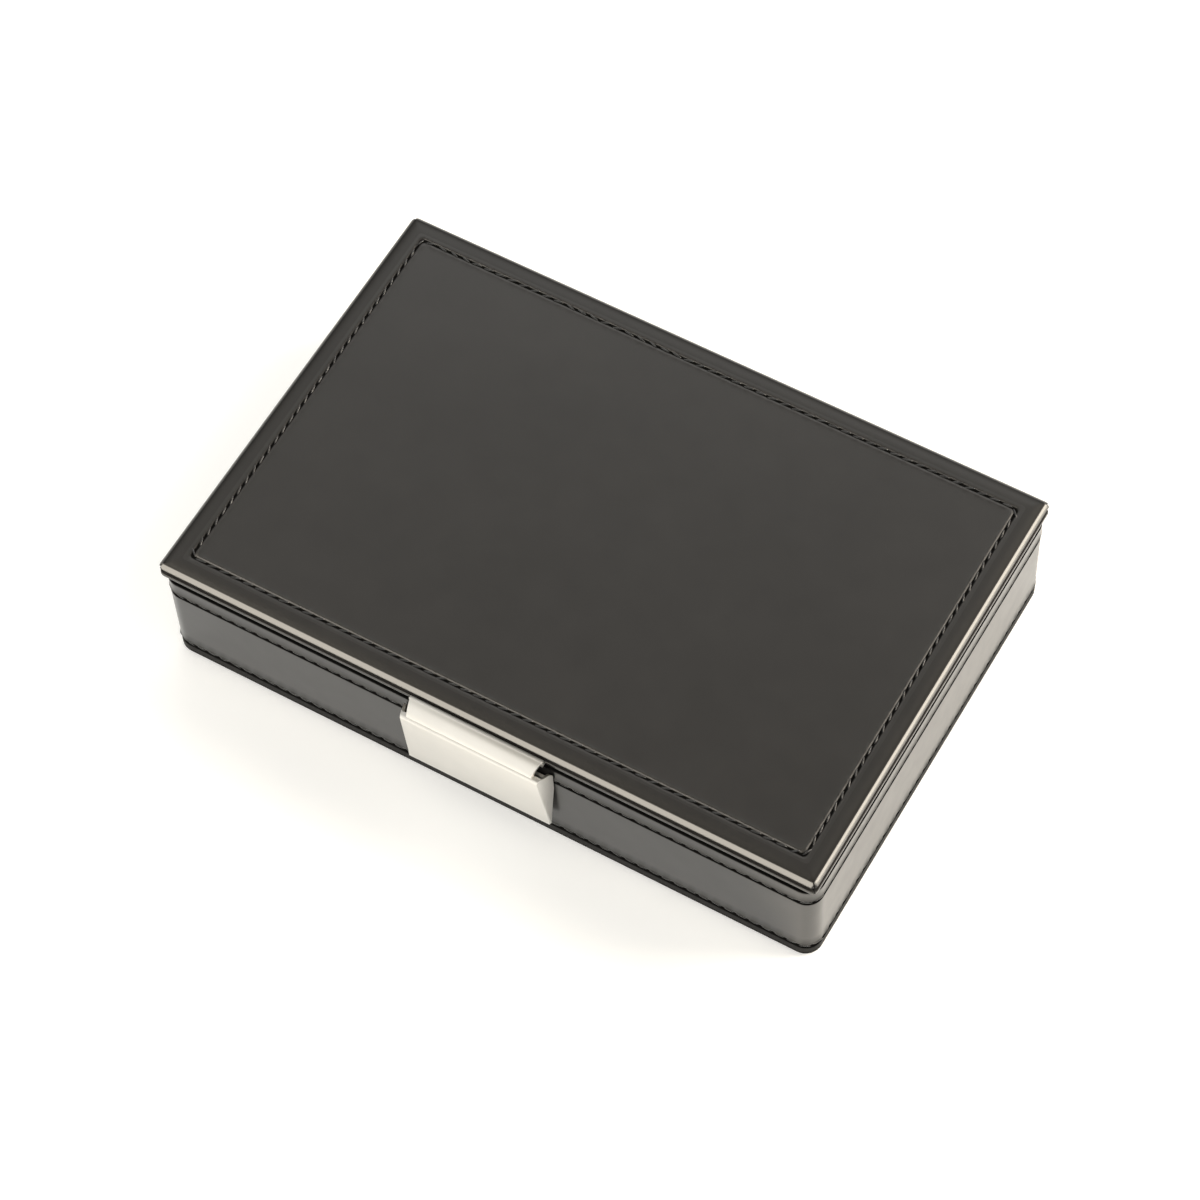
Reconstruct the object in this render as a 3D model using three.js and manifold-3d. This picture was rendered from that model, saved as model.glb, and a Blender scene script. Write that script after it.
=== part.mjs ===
// A cufflink display box: a flat case wrapped in leatherette, with a hinged lid, a sprung clasp
// on the front and a velvet interior that dividers part into small compartments.
// Lengths are in millimetres. +X runs right along the front, +Y to the back and +Z up.
// The origin is the middle of the underside.
import * as THREE from "three";
import { mergeVertices } from "three/addons/utils/BufferGeometryUtils.js";
import Module from "manifold-3d";

const wasm = await Module();
wasm.setup();

// The whole box
const boxWidth = 180;
const boxDepth = 119.4;
const boxHeight = 38.6;
const lidHeight = 4.6; // from the middle of the line between base and lid up to the lid's top
const seamGap = 0.3;
const fitGap = 0.3; // left between two pieces that touch
const overrun = 3; // how far a cutting shape runs past what it cuts

// Leatherette skin
const skinThickness = 0.8;
const baseCornerRadius = 4.4;
const baseRimRadius = 0.7;
const baseFootRadius = 1.3;
const baseTurnIn = 10; // skin folded in under the floor board
const foldCornerRadius = 0.4; // plan corner of the folded edges
const lidOverhang = 0.2;
const lidCornerRadius = 2.2;
const lidTopRadius = 1.6;
const lidLowerRadius = 0.4;

// Boards, felt and velvet
const wallThickness = 4.5;
const floorThickness = 3;
const feltProud = 0.3; // the felt stands this far below the skin
const floorPadThickness = 2;
const liningThickness = 1.6;
const liningDrop = 0.6; // from the rim down to the lining's top edge
const panelClearance = 0.7; // between the lid's panel and the linings
const panelDrop = 2; // how far the lid's panel reaches down into the base
const panelCornerRadius = 3;

// Dividers
const dividerThickness = 2.2;
const dividerDrop = 0.6; // from the lid's panel down to the dividers
const columns = 5;
const rows = 3;

// Stop hinges
const hingeSpacingShare = 0.58; // of the box's width
const hingeWidth = 26;
const hingeStand = 0.4; // from the base's back to the hinges' axis
const knuckleRadius = 1.4;
const hingePinRadius = 0.6;
const runningGap = 0.15; // round a turning pin
const middleKnuckleShare = 0.38;
const hingeScrewShare = 0.31; // screw to hinge middle, of the hinge's width

// Countersunk screws
const screwHeadRadius = 1.25;
const screwHeadHeight = 0.65;
const screwShankRadius = 0.55;
const baseScrewLength = 7;
const screwSink = 0.05; // the head lies this far under the surface
const screwSlotWidth = 0.35;
const screwSlotDepth = 0.25;

// Clasp, all of sheet metal
const sheetThickness = 0.8;
const hoodWidth = 36.5;
const hoodRise = 2.4; // from the line between base and lid up to the hood's root
const hoodArcRadius = 4.8;
const hoodDrawInShare = 0.063; // how much narrower it is at its lower edge
const claspFlangeDepth = 6.4; // how far the clasp's flanges reach in under the lid board
const hoodLugWidth = 9;
const strikerWidth = 15;
const strikerToe = 0.75; // how far the toe stands out from the striker's leg
const strikerBendStart = 0.6; // from the box's front to the striker's first bend
const claspScrewInset = 3.4;

// Latch plate, its bracket, pin, rivets and spring
const plateWidth = 40.8; // across its cheeks' back edges
const plateDrawInShare = 0.08; // how much narrower it is at its top edge
const plateHeight = 23.7;
const plateDrop = 1.1; // from the line between base and lid down to the plate's ridge
const plateBottomStand = 2.6; // from the box's front to the plate's outside, at its bottom
const plateTopStand = 5.2;
const flarePower = 1.5;
const lipDepth = 1.7;
const cheekStand = 0.4; // from the box's front to the cheeks' back edge
const cheekFootStand = 1.9; // the same at the plate's bottom, which leaves room to press it
const cheekCornerRadius = 2.2;
const cheekCornerDrop = 0.6; // from the ridge down to the cheeks' top edge
const latchPinDrop = 8.4; // from the ridge down to the pin
const latchPinStand = 1.75;
const latchPinRadius = 0.5;
const pivotDimpleDepth = 0.4;
const bracketHeight = 9.6;
const bracketRise = 4.1; // from the pin up to the bracket's top edge
const bracketLugRadius = 1.1;
const springWindowWidth = 10;
const rivetSpacing = 22;
const rivetDrop = 3.5; // from the pin down to the rivets
const rivetHeadRadius = 1.4;
const rivetHeadHeight = 0.6;
const rivetShankRadius = 0.7;
const rivetReach = 4.6; // from the box's front to the rivet's inner end
const springWireRadius = 0.2;
const springPitch = 0.9;
const springTurns = 5.5;
const springPinGap = 0.2;
const springLeg = 4.4; // the leg on the latch plate
const springLegLean = 0.55; // how far that leg leans in towards the box
const springTail = 2.7; // the leg on the box's side

// Places worked out from the sizes above
const halfWidth = boxWidth / 2;
const halfDepth = boxDepth / 2;
const seamHeight = boxHeight - lidHeight;
const baseTop = seamHeight - seamGap / 2;
const lidBottom = seamHeight + seamGap / 2;
const wallOutside = skinThickness + fitGap; // insets, all measured in from the base's outside
const wallInside = wallOutside + wallThickness;
const liningOutside = wallInside + fitGap;
const liningInside = liningOutside + liningThickness;
const wallMiddle = (wallOutside + wallInside) / 2;
const panelInset = liningInside + panelClearance;
const floorBottom = feltProud + skinThickness + fitGap;
const floorTop = floorBottom + floorThickness;
const wallBottom = floorTop + fitGap;
const wallTop = baseTop - skinThickness - fitGap;
const floorPadTop = wallBottom + floorPadThickness;
const liningTop = baseTop - liningDrop;
const lidBoardBottom = lidBottom + skinThickness + fitGap;
const lidBoardTop = boxHeight - skinThickness - fitGap;
const panelBottom = lidBottom - panelDrop;
const dividerBottom = floorPadTop + fitGap;
const dividerTop = panelBottom - dividerDrop;
const hingeSpacing = boxWidth * hingeSpacingShare;
const hingeAxisY = halfDepth + hingeStand;
const knuckleClearance = knuckleRadius + fitGap;
const leafThickness = skinThickness; // a leaf lies in a window of the skin
const leafReach = wallInside - fitGap;
const hoodTopHeight = seamHeight + hoodRise;
const plateTop = seamHeight - plateDrop;
const plateBottom = plateTop - plateHeight;
const latchPinHeight = plateTop - latchPinDrop;
const bracketTop = latchPinHeight + bracketRise;
const bracketBottom = bracketTop - bracketHeight;
const rivetHeight = latchPinHeight - rivetDrop;

// Colours and finishes, as the closed box shows them or as its lining is taken to be
const leatherette = new THREE.MeshStandardMaterial({ color: 0x3c3b39, roughness: 0.38 });
const board = new THREE.MeshStandardMaterial({ color: 0xa3845c, roughness: 0.85 });
const velvet = new THREE.MeshStandardMaterial({ color: 0x2b2a2c, roughness: 0.95 });
const felt = new THREE.MeshStandardMaterial({ color: 0x1d1d1e, roughness: 1 });
const nickel = new THREE.MeshStandardMaterial({ color: 0xd2cdc2, roughness: 0.3, metalness: 1 });
const steel = new THREE.MeshStandardMaterial({ color: 0xb9b7b2, roughness: 0.35, metalness: 1 });

// Closed solids, and the cuts and joins between them
function solidOf(geometry) {
  const bare = geometry.index ? geometry.toNonIndexed() : geometry.clone();
  bare.deleteAttribute("normal");
  bare.deleteAttribute("uv");
  const merged = mergeVertices(bare);
  const vertProperties = merged.attributes.position.array;
  const triVerts = new Uint32Array(merged.index.array);
  return new wasm.Manifold(new wasm.Mesh({ numProp: 3, vertProperties, triVerts }));
}

function geometryOf(solid) {
  const { vertProperties, triVerts } = solid.getMesh();
  const geometry = new THREE.BufferGeometry();
  geometry.setAttribute("position", new THREE.BufferAttribute(vertProperties, 3));
  geometry.setIndex(new THREE.BufferAttribute(triVerts, 1));
  return geometry;
}

const cut = (body, ...tools) =>
  geometryOf(tools.reduce((left, tool) => left.subtract(solidOf(tool)), solidOf(body)));

const join = (body, ...others) =>
  geometryOf(others.reduce((sum, other) => sum.add(solidOf(other)), solidOf(body)));

const common = (one, other) => geometryOf(solidOf(one).intersect(solidOf(other)));

// Two values, the lower one first.
const ordered = (a, b) => [Math.min(a, b), Math.max(a, b)];

// A block between two opposite corners.
function block(low, high) {
  const size = high.map((value, i) => value - low[i]);
  const middle = high.map((value, i) => (value + low[i]) / 2);
  return new THREE.BoxGeometry(...size).translate(...middle);
}

// A block that lies inside the base's outside by an inset, between two heights.
const insetBlock = (inset, bottom, top) =>
  block(
    [inset - halfWidth, inset - halfDepth, bottom],
    [halfWidth - inset, halfDepth - inset, top],
  );

// One level of a rounded rectangle, counter-clockwise seen from above.
const CORNER_STEPS = 6;
function roundedRing(halfX, halfY, radius, z) {
  const ring = [];
  for (let corner = 0; corner < 4; corner++) {
    const sideX = corner === 0 || corner === 3 ? 1 : -1;
    const sideY = corner < 2 ? 1 : -1;
    for (let step = 0; step <= CORNER_STEPS; step++) {
      const angle = ((corner + step / CORNER_STEPS) * Math.PI) / 2;
      const x = sideX * (halfX - radius) + radius * Math.cos(angle);
      const y = sideY * (halfY - radius) + radius * Math.sin(angle);
      ring.push([x, y, z]);
    }
  }
  return ring;
}

// A solid through a row of rings. It is capped at both ends, or its last ring meets its first.
function loft(rings, closed) {
  const positions = rings.flat(2);
  const count = rings[0].length;
  const faces = [];
  const levels = closed ? rings.length : rings.length - 1;
  for (let level = 0; level < levels; level++) {
    const here = level * count;
    const next = ((level + 1) % rings.length) * count;
    for (let i = 0; i < count; i++) {
      const j = (i + 1) % count;
      faces.push(here + i, here + j, next + j, here + i, next + j, next + i);
    }
  }
  if (!closed) {
    const last = (rings.length - 1) * count;
    for (let i = 1; i < count - 1; i++) {
      faces.push(0, i + 1, i, last, last + i, last + i + 1);
    }
  }
  const geometry = new THREE.BufferGeometry();
  geometry.setAttribute("position", new THREE.Float32BufferAttribute(positions, 3));
  return geometry.setIndex(faces);
}

// Points of a quarter round between two angles in degrees, ends included.
function arc(centre, radius, from, to, steps) {
  return Array.from({ length: steps + 1 }, (_, i) => {
    const angle = THREE.MathUtils.degToRad(from + ((to - from) * i) / steps);
    return [centre[0] + radius * Math.cos(angle), centre[1] + radius * Math.sin(angle)];
  });
}

// Rings round the box for points of inset and height. A plan corner shrinks with its inset.
function ringsOf(profile, halfX, halfY, cornerRadius) {
  return profile.map(([inset, z]) => {
    const radius = Math.max(cornerRadius - inset, foldCornerRadius);
    return roundedRing(halfX - inset, halfY - inset, radius, z);
  });
}

// A flat slab with rounded plan corners, inset from the base's outside.
function roundedSlab(inset, bottom, top, cornerRadius) {
  const halfX = halfWidth - inset;
  const halfY = halfDepth - inset;
  return loft([bottom, top].map((z) => roundedRing(halfX, halfY, cornerRadius, z)), false);
}

// An outline of distance out from the box's front and height, extruded along X about x = 0.
function frontExtrusion(outline, width) {
  const points = outline.map(([out, z]) => new THREE.Vector2(-halfDepth - out, z));
  const shape = new THREE.Shape(points);
  const geometry = new THREE.ExtrudeGeometry(shape, { depth: width, bevelEnabled: false });
  const alongX = new THREE.Matrix4().set(0, 0, 1, -width / 2, 1, 0, 0, 0, 0, 1, 0, 0, 0, 0, 0, 1);
  return geometry.applyMatrix4(alongX);
}

// A round bar along X about a point of the YZ plane.
const PIN_SIDES = 16;
const barAlongX = (radius, length, y, z) =>
  new THREE.CylinderGeometry(radius, radius, length, PIN_SIDES)
    .rotateZ(-Math.PI / 2)
    .translate(0, y, z);

// A piece turned about the Z axis, for points of radius and height that start and end on it.
const TURNED_SIDES = 16;
const turned = (points) =>
  new THREE.LatheGeometry(
    points.map(([r, z]) => new THREE.Vector2(r, z)),
    TURNED_SIDES,
  ).rotateX(Math.PI / 2);

function mesh(name, geometry, material) {
  const made = new THREE.Mesh(geometry, material);
  made.name = name;
  return made;
}

// Screws. A head faces up at z = 0 and the shank points down.
const screw = (length) => {
  const blank = turned([
    [0, -length],
    [screwShankRadius, -length + screwShankRadius],
    [screwShankRadius, -screwHeadHeight],
    [screwHeadRadius, 0],
    [0, 0],
  ]);
  const slot = block(
    [-screwHeadRadius - overrun, -screwSlotWidth / 2, -screwSlotDepth],
    [screwHeadRadius + overrun, screwSlotWidth / 2, overrun],
  );
  return cut(blank, slot);
};

// The hole that clears a screw, open above its head.
const screwHole = (length) =>
  turned([
    [0, -length - fitGap],
    [screwShankRadius + fitGap, -length - fitGap],
    [screwShankRadius + fitGap, -screwHeadHeight],
    [screwHeadRadius + fitGap, 0],
    [screwHeadRadius + fitGap, overrun],
    [0, overrun],
  ]);

// Where the clasp's screws go up through its flanges: one through each lug, one in the middle.
const claspScrewY = -halfDepth + claspScrewInset;
const lugCentre = (hoodWidth - hoodLugWidth) / 2;
const claspScrewPlaces = { left: -lugCentre, middle: 0, right: lugCentre };

// Hinge screws go down into the back wall and up into the lid board.
const hingeScrewX = hingeWidth * hingeScrewShare;
const hingeScrewY = halfDepth - wallMiddle;
const baseScrewTop = baseTop - screwSink;
const lidScrewTop = lidBottom + screwSink;
const lidScrewLength = lidBoardTop - fitGap - lidScrewTop;
const hingeSides = { left: -hingeSpacing / 2, right: hingeSpacing / 2 };

const upScrew = (x, y) =>
  screw(lidScrewLength).rotateX(Math.PI).translate(x, y, lidScrewTop);
const upHole = (x, y) =>
  screwHole(lidScrewLength + overrun).rotateX(Math.PI).translate(x, y, lidScrewTop);
const downHole = (x, y) => screwHole(baseScrewLength).translate(x, y, baseScrewTop);

// Every hinge screw's place, by its hinge's middle and a sign for left or right of it.
const hingeScrewPlaces = Object.values(hingeSides).flatMap((middle) =>
  [-1, 1].map((sign) => [middle + sign * hingeScrewX, hingeScrewY]),
);

// Windows for the hinges: one over each leaf, in the skin's folded edge, and a deeper one over
// its knuckles, in the back of the box
function hingeWindows(leafEdge, knuckleEdge, openEdge) {
  const reach = hingeWidth / 2 + fitGap;
  const window = (middle, y, edge) =>
    block(
      [middle - reach, y, Math.min(edge, openEdge)],
      [middle + reach, halfDepth + overrun, Math.max(edge, openEdge)],
    );
  return Object.values(hingeSides).flatMap((middle) => [
    window(middle, halfDepth - leafReach - fitGap, leafEdge),
    window(middle, hingeAxisY - knuckleClearance, knuckleEdge),
  ]);
}
const baseWindows = hingeWindows(
  baseTop - leafThickness - fitGap,
  seamHeight - knuckleClearance,
  baseTop + overrun,
);
const lidWindows = hingeWindows(
  lidBottom + leafThickness + fitGap,
  seamHeight + knuckleClearance,
  lidBottom - overrun,
);

// Holes for the two rivets that hold the clasp's bracket to the front wall
const rivetHole = (x) =>
  new THREE.CylinderGeometry(
    rivetShankRadius + fitGap,
    rivetShankRadius + fitGap,
    rivetReach + fitGap + overrun,
    TURNED_SIDES,
  ).translate(x, -halfDepth + (rivetReach + fitGap - overrun) / 2, rivetHeight);
const rivetHoles = [-rivetSpacing / 2, rivetSpacing / 2].map(rivetHole);

// Underside felt and floor board
function undersideFelt() {
  return roundedSlab(baseTurnIn + fitGap, 0, floorBottom - fitGap, foldCornerRadius);
}

function floorBoard() {
  return roundedSlab(wallOutside, floorBottom, floorTop, baseCornerRadius - wallOutside);
}

// The four walls. The front and back run the full width and the sides fit between them.
function wall(low, high) {
  const rounded = roundedSlab(wallOutside, wallBottom, wallTop, baseCornerRadius - wallOutside);
  return common(rounded, block([...low, wallBottom - overrun], [...high, wallTop + overrun]));
}
const wallFaceX = halfWidth - wallInside;
const wallFaceY = halfDepth - wallInside;

function frontWall() {
  const blank = wall([-boxWidth, -boxDepth], [boxWidth, -wallFaceY]);
  return cut(blank, ...rivetHoles);
}

function backWall() {
  const blank = wall([-boxWidth, wallFaceY], [boxWidth, boxDepth]);
  return cut(blank, ...baseWindows, ...hingeScrewPlaces.map(([x, y]) => downHole(x, y)));
}

function sideWall(sign) {
  const edges = ordered(sign * wallFaceX, sign * boxWidth);
  return wall([edges[0], -wallFaceY + fitGap], [edges[1], wallFaceY - fitGap]);
}

// The leatherette round the walls, folded over the rim and in under the floor board
function baseCover() {
  const footCentre = [baseFootRadius, feltProud + baseFootRadius];
  const rimCentre = [baseRimRadius, baseTop - baseRimRadius];
  const profile = [
    [baseTurnIn, feltProud + skinThickness],
    [baseTurnIn, feltProud],
    ...arc(footCentre, baseFootRadius, 270, 180, 5),
    ...arc(rimCentre, baseRimRadius, 180, 90, 4),
    [wallInside, baseTop],
    [wallInside, baseTop - skinThickness],
    [skinThickness, baseTop - skinThickness],
    [skinThickness, feltProud + skinThickness],
  ];
  const skin = loft(ringsOf(profile, halfWidth, halfDepth, baseCornerRadius), true);
  return cut(skin, ...baseWindows, ...rivetHoles);
}

// Velvet floor pad and wall linings
const floorPad = () => insetBlock(liningOutside, wallBottom, floorPadTop);

const liningFaceX = halfWidth - liningInside;
const liningFaceY = halfDepth - liningInside;
const liningBackX = halfWidth - liningOutside;
const liningBackY = halfDepth - liningOutside;

function longLining(sign) {
  const edges = ordered(sign * liningFaceY, sign * liningBackY);
  return block([-liningBackX, edges[0], dividerBottom], [liningBackX, edges[1], liningTop]);
}

function shortLining(sign) {
  const edges = ordered(sign * liningFaceX, sign * liningBackX);
  const reach = liningFaceY - fitGap;
  return block([edges[0], -reach, dividerBottom], [edges[1], reach, liningTop]);
}

// Dividers, halved over one another. The ones along X are slotted from above.
const columnStep = (2 * liningFaceX + dividerThickness) / columns;
const rowStep = (2 * liningFaceY + dividerThickness) / rows;
const crossPlaces = Array.from({ length: columns - 1 }, (_, i) => (i + 1 - columns / 2) * columnStep);
const longPlaces = Array.from({ length: rows - 1 }, (_, i) => (i + 1 - rows / 2) * rowStep);
const halvingHeight = (dividerBottom + dividerTop) / 2;
const slotReach = dividerThickness / 2 + fitGap;

function longDivider(y) {
  const half = dividerThickness / 2;
  const reach = liningFaceX - fitGap;
  const strip = block([-reach, y - half, dividerBottom], [reach, y + half, dividerTop]);
  const slots = crossPlaces.map((x) =>
    block(
      [x - slotReach, y - half - overrun, halvingHeight - fitGap],
      [x + slotReach, y + half + overrun, dividerTop + overrun],
    ),
  );
  return cut(strip, ...slots);
}

function crossDivider(x) {
  const half = dividerThickness / 2;
  const reach = liningFaceY - fitGap;
  const strip = block([x - half, -reach, dividerBottom], [x + half, reach, dividerTop]);
  const slots = longPlaces.map((y) =>
    block(
      [x - half - overrun, y - slotReach, dividerBottom - overrun],
      [x + half + overrun, y + slotReach, halvingHeight],
    ),
  );
  return cut(strip, ...slots);
}

// Lid: a thin board in leatherette that is folded in under it, and a velvet panel inside
const lidHalfWidth = halfWidth + lidOverhang;
const lidHalfDepth = halfDepth + lidOverhang;

function lidBoard() {
  const inset = wallOutside - lidOverhang;
  const blank = roundedSlab(inset, lidBoardBottom, lidBoardTop, lidCornerRadius - wallOutside);
  const hingeHoles = hingeScrewPlaces.map(([x, y]) => upHole(x, y));
  const claspHoles = Object.values(claspScrewPlaces).map((x) => upHole(x, claspScrewY));
  return cut(blank, ...lidWindows, ...hingeHoles, ...claspHoles);
}

function lidCover() {
  const lowerCentre = [lidLowerRadius, lidBottom + lidLowerRadius];
  const upperCentre = [lidTopRadius, boxHeight - lidTopRadius];
  const profile = [
    ...arc(lowerCentre, lidLowerRadius, 270, 180, 3),
    ...arc(upperCentre, lidTopRadius, 180, 90, 6),
  ];
  const outside = loft(ringsOf(profile, lidHalfWidth, lidHalfDepth, lidCornerRadius), false);
  const inset = skinThickness - lidOverhang;
  const hollowRadius = lidCornerRadius - skinThickness;
  const roof = boxHeight - skinThickness;
  const hollow = roundedSlab(inset, lidBottom + skinThickness, roof, hollowRadius);
  const mouth = roundedSlab(panelInset - fitGap, lidBottom - overrun, roof, panelCornerRadius);
  const claspWindow = block(
    [-hoodWidth / 2 - fitGap, -lidHalfDepth - overrun, lidBottom - overrun],
    [
      hoodWidth / 2 + fitGap,
      -halfDepth + claspFlangeDepth + fitGap,
      lidBottom + sheetThickness + fitGap,
    ],
  );
  return cut(outside, hollow, mouth, claspWindow, ...lidWindows);
}

const lidPanel = () =>
  roundedSlab(panelInset, panelBottom, lidBoardBottom - fitGap, panelCornerRadius - fitGap);

// Hinges: two leaves with three knuckles between them, and a pin
const middleKnuckle = hingeWidth * middleKnuckleShare;

// A box over the knuckles' zone, between two places along the hinge.
const knuckleZone = (from, to) =>
  block(
    [from, hingeAxisY - knuckleClearance, seamHeight - overrun],
    [to, hingeAxisY + knuckleClearance, seamHeight + overrun],
  );
const pinBore = () =>
  barAlongX(hingePinRadius + runningGap, hingeWidth + overrun, hingeAxisY, seamHeight);

function baseLeaf(middle) {
  const plate = block(
    [-hingeWidth / 2, halfDepth - leafReach, baseTop - leafThickness],
    [hingeWidth / 2, hingeAxisY, baseTop],
  );
  const barrel = barAlongX(knuckleRadius, hingeWidth, hingeAxisY, seamHeight);
  const gap = middleKnuckle / 2 + fitGap;
  const holes = [-1, 1].map((sign) => downHole(sign * hingeScrewX, hingeScrewY));
  const leaf = cut(join(plate, barrel), knuckleZone(-gap, gap), pinBore(), ...holes);
  return leaf.translate(middle, 0, 0);
}

function lidLeaf(middle) {
  const plate = block(
    [-hingeWidth / 2, halfDepth - leafReach, lidBottom],
    [hingeWidth / 2, hingeAxisY, lidBottom + leafThickness],
  );
  const barrel = barAlongX(knuckleRadius, middleKnuckle, hingeAxisY, seamHeight);
  const outer = [-1, 1].map((sign) => {
    const ends = ordered((sign * middleKnuckle) / 2, sign * hingeWidth);
    return knuckleZone(ends[0], ends[1]);
  });
  const holes = [-1, 1].map((sign) => upHole(sign * hingeScrewX, hingeScrewY));
  return cut(join(plate, barrel), ...outer, pinBore(), ...holes).translate(middle, 0, 0);
}

const hingePin = (middle) =>
  barAlongX(hingePinRadius, hingeWidth, hingeAxisY, seamHeight).translate(middle, 0, 0);

// How wide a sheet still is at a distance out from the box's front, as a share of its width.
const taper = (share, start, end) => (out) => 1 - (share * (out - start)) / (end - start);

// A sheet across the box's front, drawn in by a taper.
function tapered(geometry, shareAt) {
  const corners = geometry.attributes.position;
  for (let i = 0; i < corners.count; i++) {
    corners.setX(i, corners.getX(i) * shareAt(-halfDepth - corners.getY(i)));
  }
  return geometry;
}

// Clasp hood: a strip that is screwed under the lid board, turns up the lid's edge and folds
// out and down into a finger hood.
function claspHood() {
  const foot = lidOverhang + fitGap; // the leg's inner face
  const leg = foot + sheetThickness;
  const flangeEnd = -claspFlangeDepth;
  const bracket = [
    [flangeEnd, lidBottom],
    [leg, lidBottom],
    [leg, hoodTopHeight],
    [foot, hoodTopHeight],
    [foot, lidBottom + sheetThickness],
    [flangeEnd, lidBottom + sheetThickness],
  ];
  const start = [foot, hoodTopHeight];
  const end = [plateTopStand - fitGap, plateTop + fitGap + sheetThickness / 2];
  const chord = Math.hypot(end[0] - start[0], end[1] - start[1]);
  const lean = Math.atan2(start[1] - end[1], end[0] - start[0]);
  const half = Math.asin(chord / 2 / hoodArcRadius);
  const back = hoodArcRadius * Math.cos(half);
  const centre = [
    (start[0] + end[0]) / 2 - back * Math.sin(lean),
    (start[1] + end[1]) / 2 - back * Math.cos(lean),
  ];
  const upright = 90 - THREE.MathUtils.radToDeg(lean);
  const spread = THREE.MathUtils.radToDeg(half);
  const hood = [
    ...arc(centre, hoodArcRadius, upright + spread, upright - spread, 8),
    ...arc(centre, hoodArcRadius - sheetThickness, upright - spread, upright + spread, 8),
  ];
  const notch = block(
    [-hoodWidth / 2 + hoodLugWidth, -halfDepth - foot - overrun, lidBottom - overrun],
    [hoodWidth / 2 - hoodLugWidth, -halfDepth + claspFlangeDepth + overrun, lidBoardBottom],
  );
  const holes = [-1, 1].map((sign) => upHole(sign * lugCentre, claspScrewY));
  const strip = cut(frontExtrusion(bracket, hoodWidth), notch, ...holes);
  const hoodTaper = taper(hoodDrawInShare, start[0], end[0]);
  return join(strip, tapered(frontExtrusion(hood, hoodWidth), hoodTaper));
}

// Striker: a hooked strip under the hood. Its toe lies under the latch plate's lip.
function striker() {
  const stand = plateTopStand - lipDepth - fitGap - sheetThickness / 2;
  const toeHeight = plateTop - sheetThickness - fitGap - sheetThickness / 2;
  const line = [
    [-claspFlangeDepth, lidBottom + sheetThickness / 2],
    [strikerBendStart, lidBottom + sheetThickness / 2],
    [stand, plateTop],
    [stand, toeHeight],
    [stand + sheetThickness / 2 + strikerToe, toeHeight],
  ];
  const strip = frontExtrusion(sheetOutline(line), strikerWidth);
  return cut(strip, upHole(0, claspScrewY));
}

// The outline of a bent sheet whose middle follows a line, with mitred bends.
function sheetOutline(line) {
  const half = sheetThickness / 2;
  const points = line.map(([x, y]) => new THREE.Vector2(x, y));
  const along = points.slice(1).map((point, i) => point.clone().sub(points[i]).normalize());
  const offset = (side) =>
    points.map((point, i) => {
      const before = along[Math.max(i - 1, 0)];
      const after = along[Math.min(i, along.length - 1)];
      const across = before.clone().add(after).normalize();
      const reach = (side * half) / across.dot(before);
      return [point.x - across.y * reach, point.y + across.x * reach];
    });
  return [...offset(1), ...offset(-1).reverse()];
}

// Latch plate: a sheet that flares towards its top, with a cheek at each end and a lip that
// turns in over the striker's toe. Pressing its foot swings the lip out.
const FLARE_STEPS = 8;
const plateShoulder = plateTop - sheetThickness;
const latchPinY = -halfDepth - latchPinStand;

const plateTaper = taper(plateDrawInShare, cheekStand, plateTopStand);

function plateOutside(share) {
  const out = plateBottomStand + (plateTopStand - plateBottomStand) * share ** flarePower;
  return [out, plateBottom + (plateShoulder - plateBottom) * share];
}

function latchPlate() {
  const outside = Array.from({ length: FLARE_STEPS + 1 }, (_, i) => plateOutside(i / FLARE_STEPS));
  const inside = outside.map(([out, z]) => [out - sheetThickness, z]).reverse();
  const bend = arc([plateTopStand - sheetThickness, plateShoulder], sheetThickness, 0, 90, 4);
  const front = [...outside, ...bend.slice(1)];
  const lipEnd = plateTopStand - lipDepth;
  const sheet = frontExtrusion(
    [...front, [lipEnd, plateTop], [lipEnd, plateShoulder], ...inside],
    plateWidth,
  );
  const cornerTop = plateTop - cheekCornerDrop;
  const corner = [cheekStand + cheekCornerRadius, cornerTop - cheekCornerRadius];
  const cheekOutline = [
    ...front,
    ...arc(corner, cheekCornerRadius, 90, 180, 5),
    [cheekStand, latchPinHeight],
    [cheekFootStand, plateBottom],
  ];
  const cheeks = [-1, 1].map((sign) =>
    frontExtrusion(cheekOutline, sheetThickness).translate(
      (sign * (plateWidth - sheetThickness)) / 2,
      0,
      0,
    ),
  );
  const plate = tapered(join(sheet, ...cheeks), plateTaper);
  const dimples = barAlongX(latchPinRadius + runningGap, pivotSpan, latchPinY, latchPinHeight);
  return cut(plate, dimples);
}

const insideWidth = plateWidth - 2 * sheetThickness;
const pivotSpan = insideWidth * plateTaper(latchPinStand) + 2 * pivotDimpleDepth;
const latchPin = () =>
  barAlongX(latchPinRadius, pivotSpan - 2 * runningGap, latchPinY, latchPinHeight);

// Bracket: a plate on the front wall with a lug at each end for the pin, and a window behind
// the spring
const bracketWidth = insideWidth * plateTaper(latchPinStand + bracketLugRadius) - 2 * fitGap;
const springRadius = latchPinRadius + springPinGap + springWireRadius;

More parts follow.
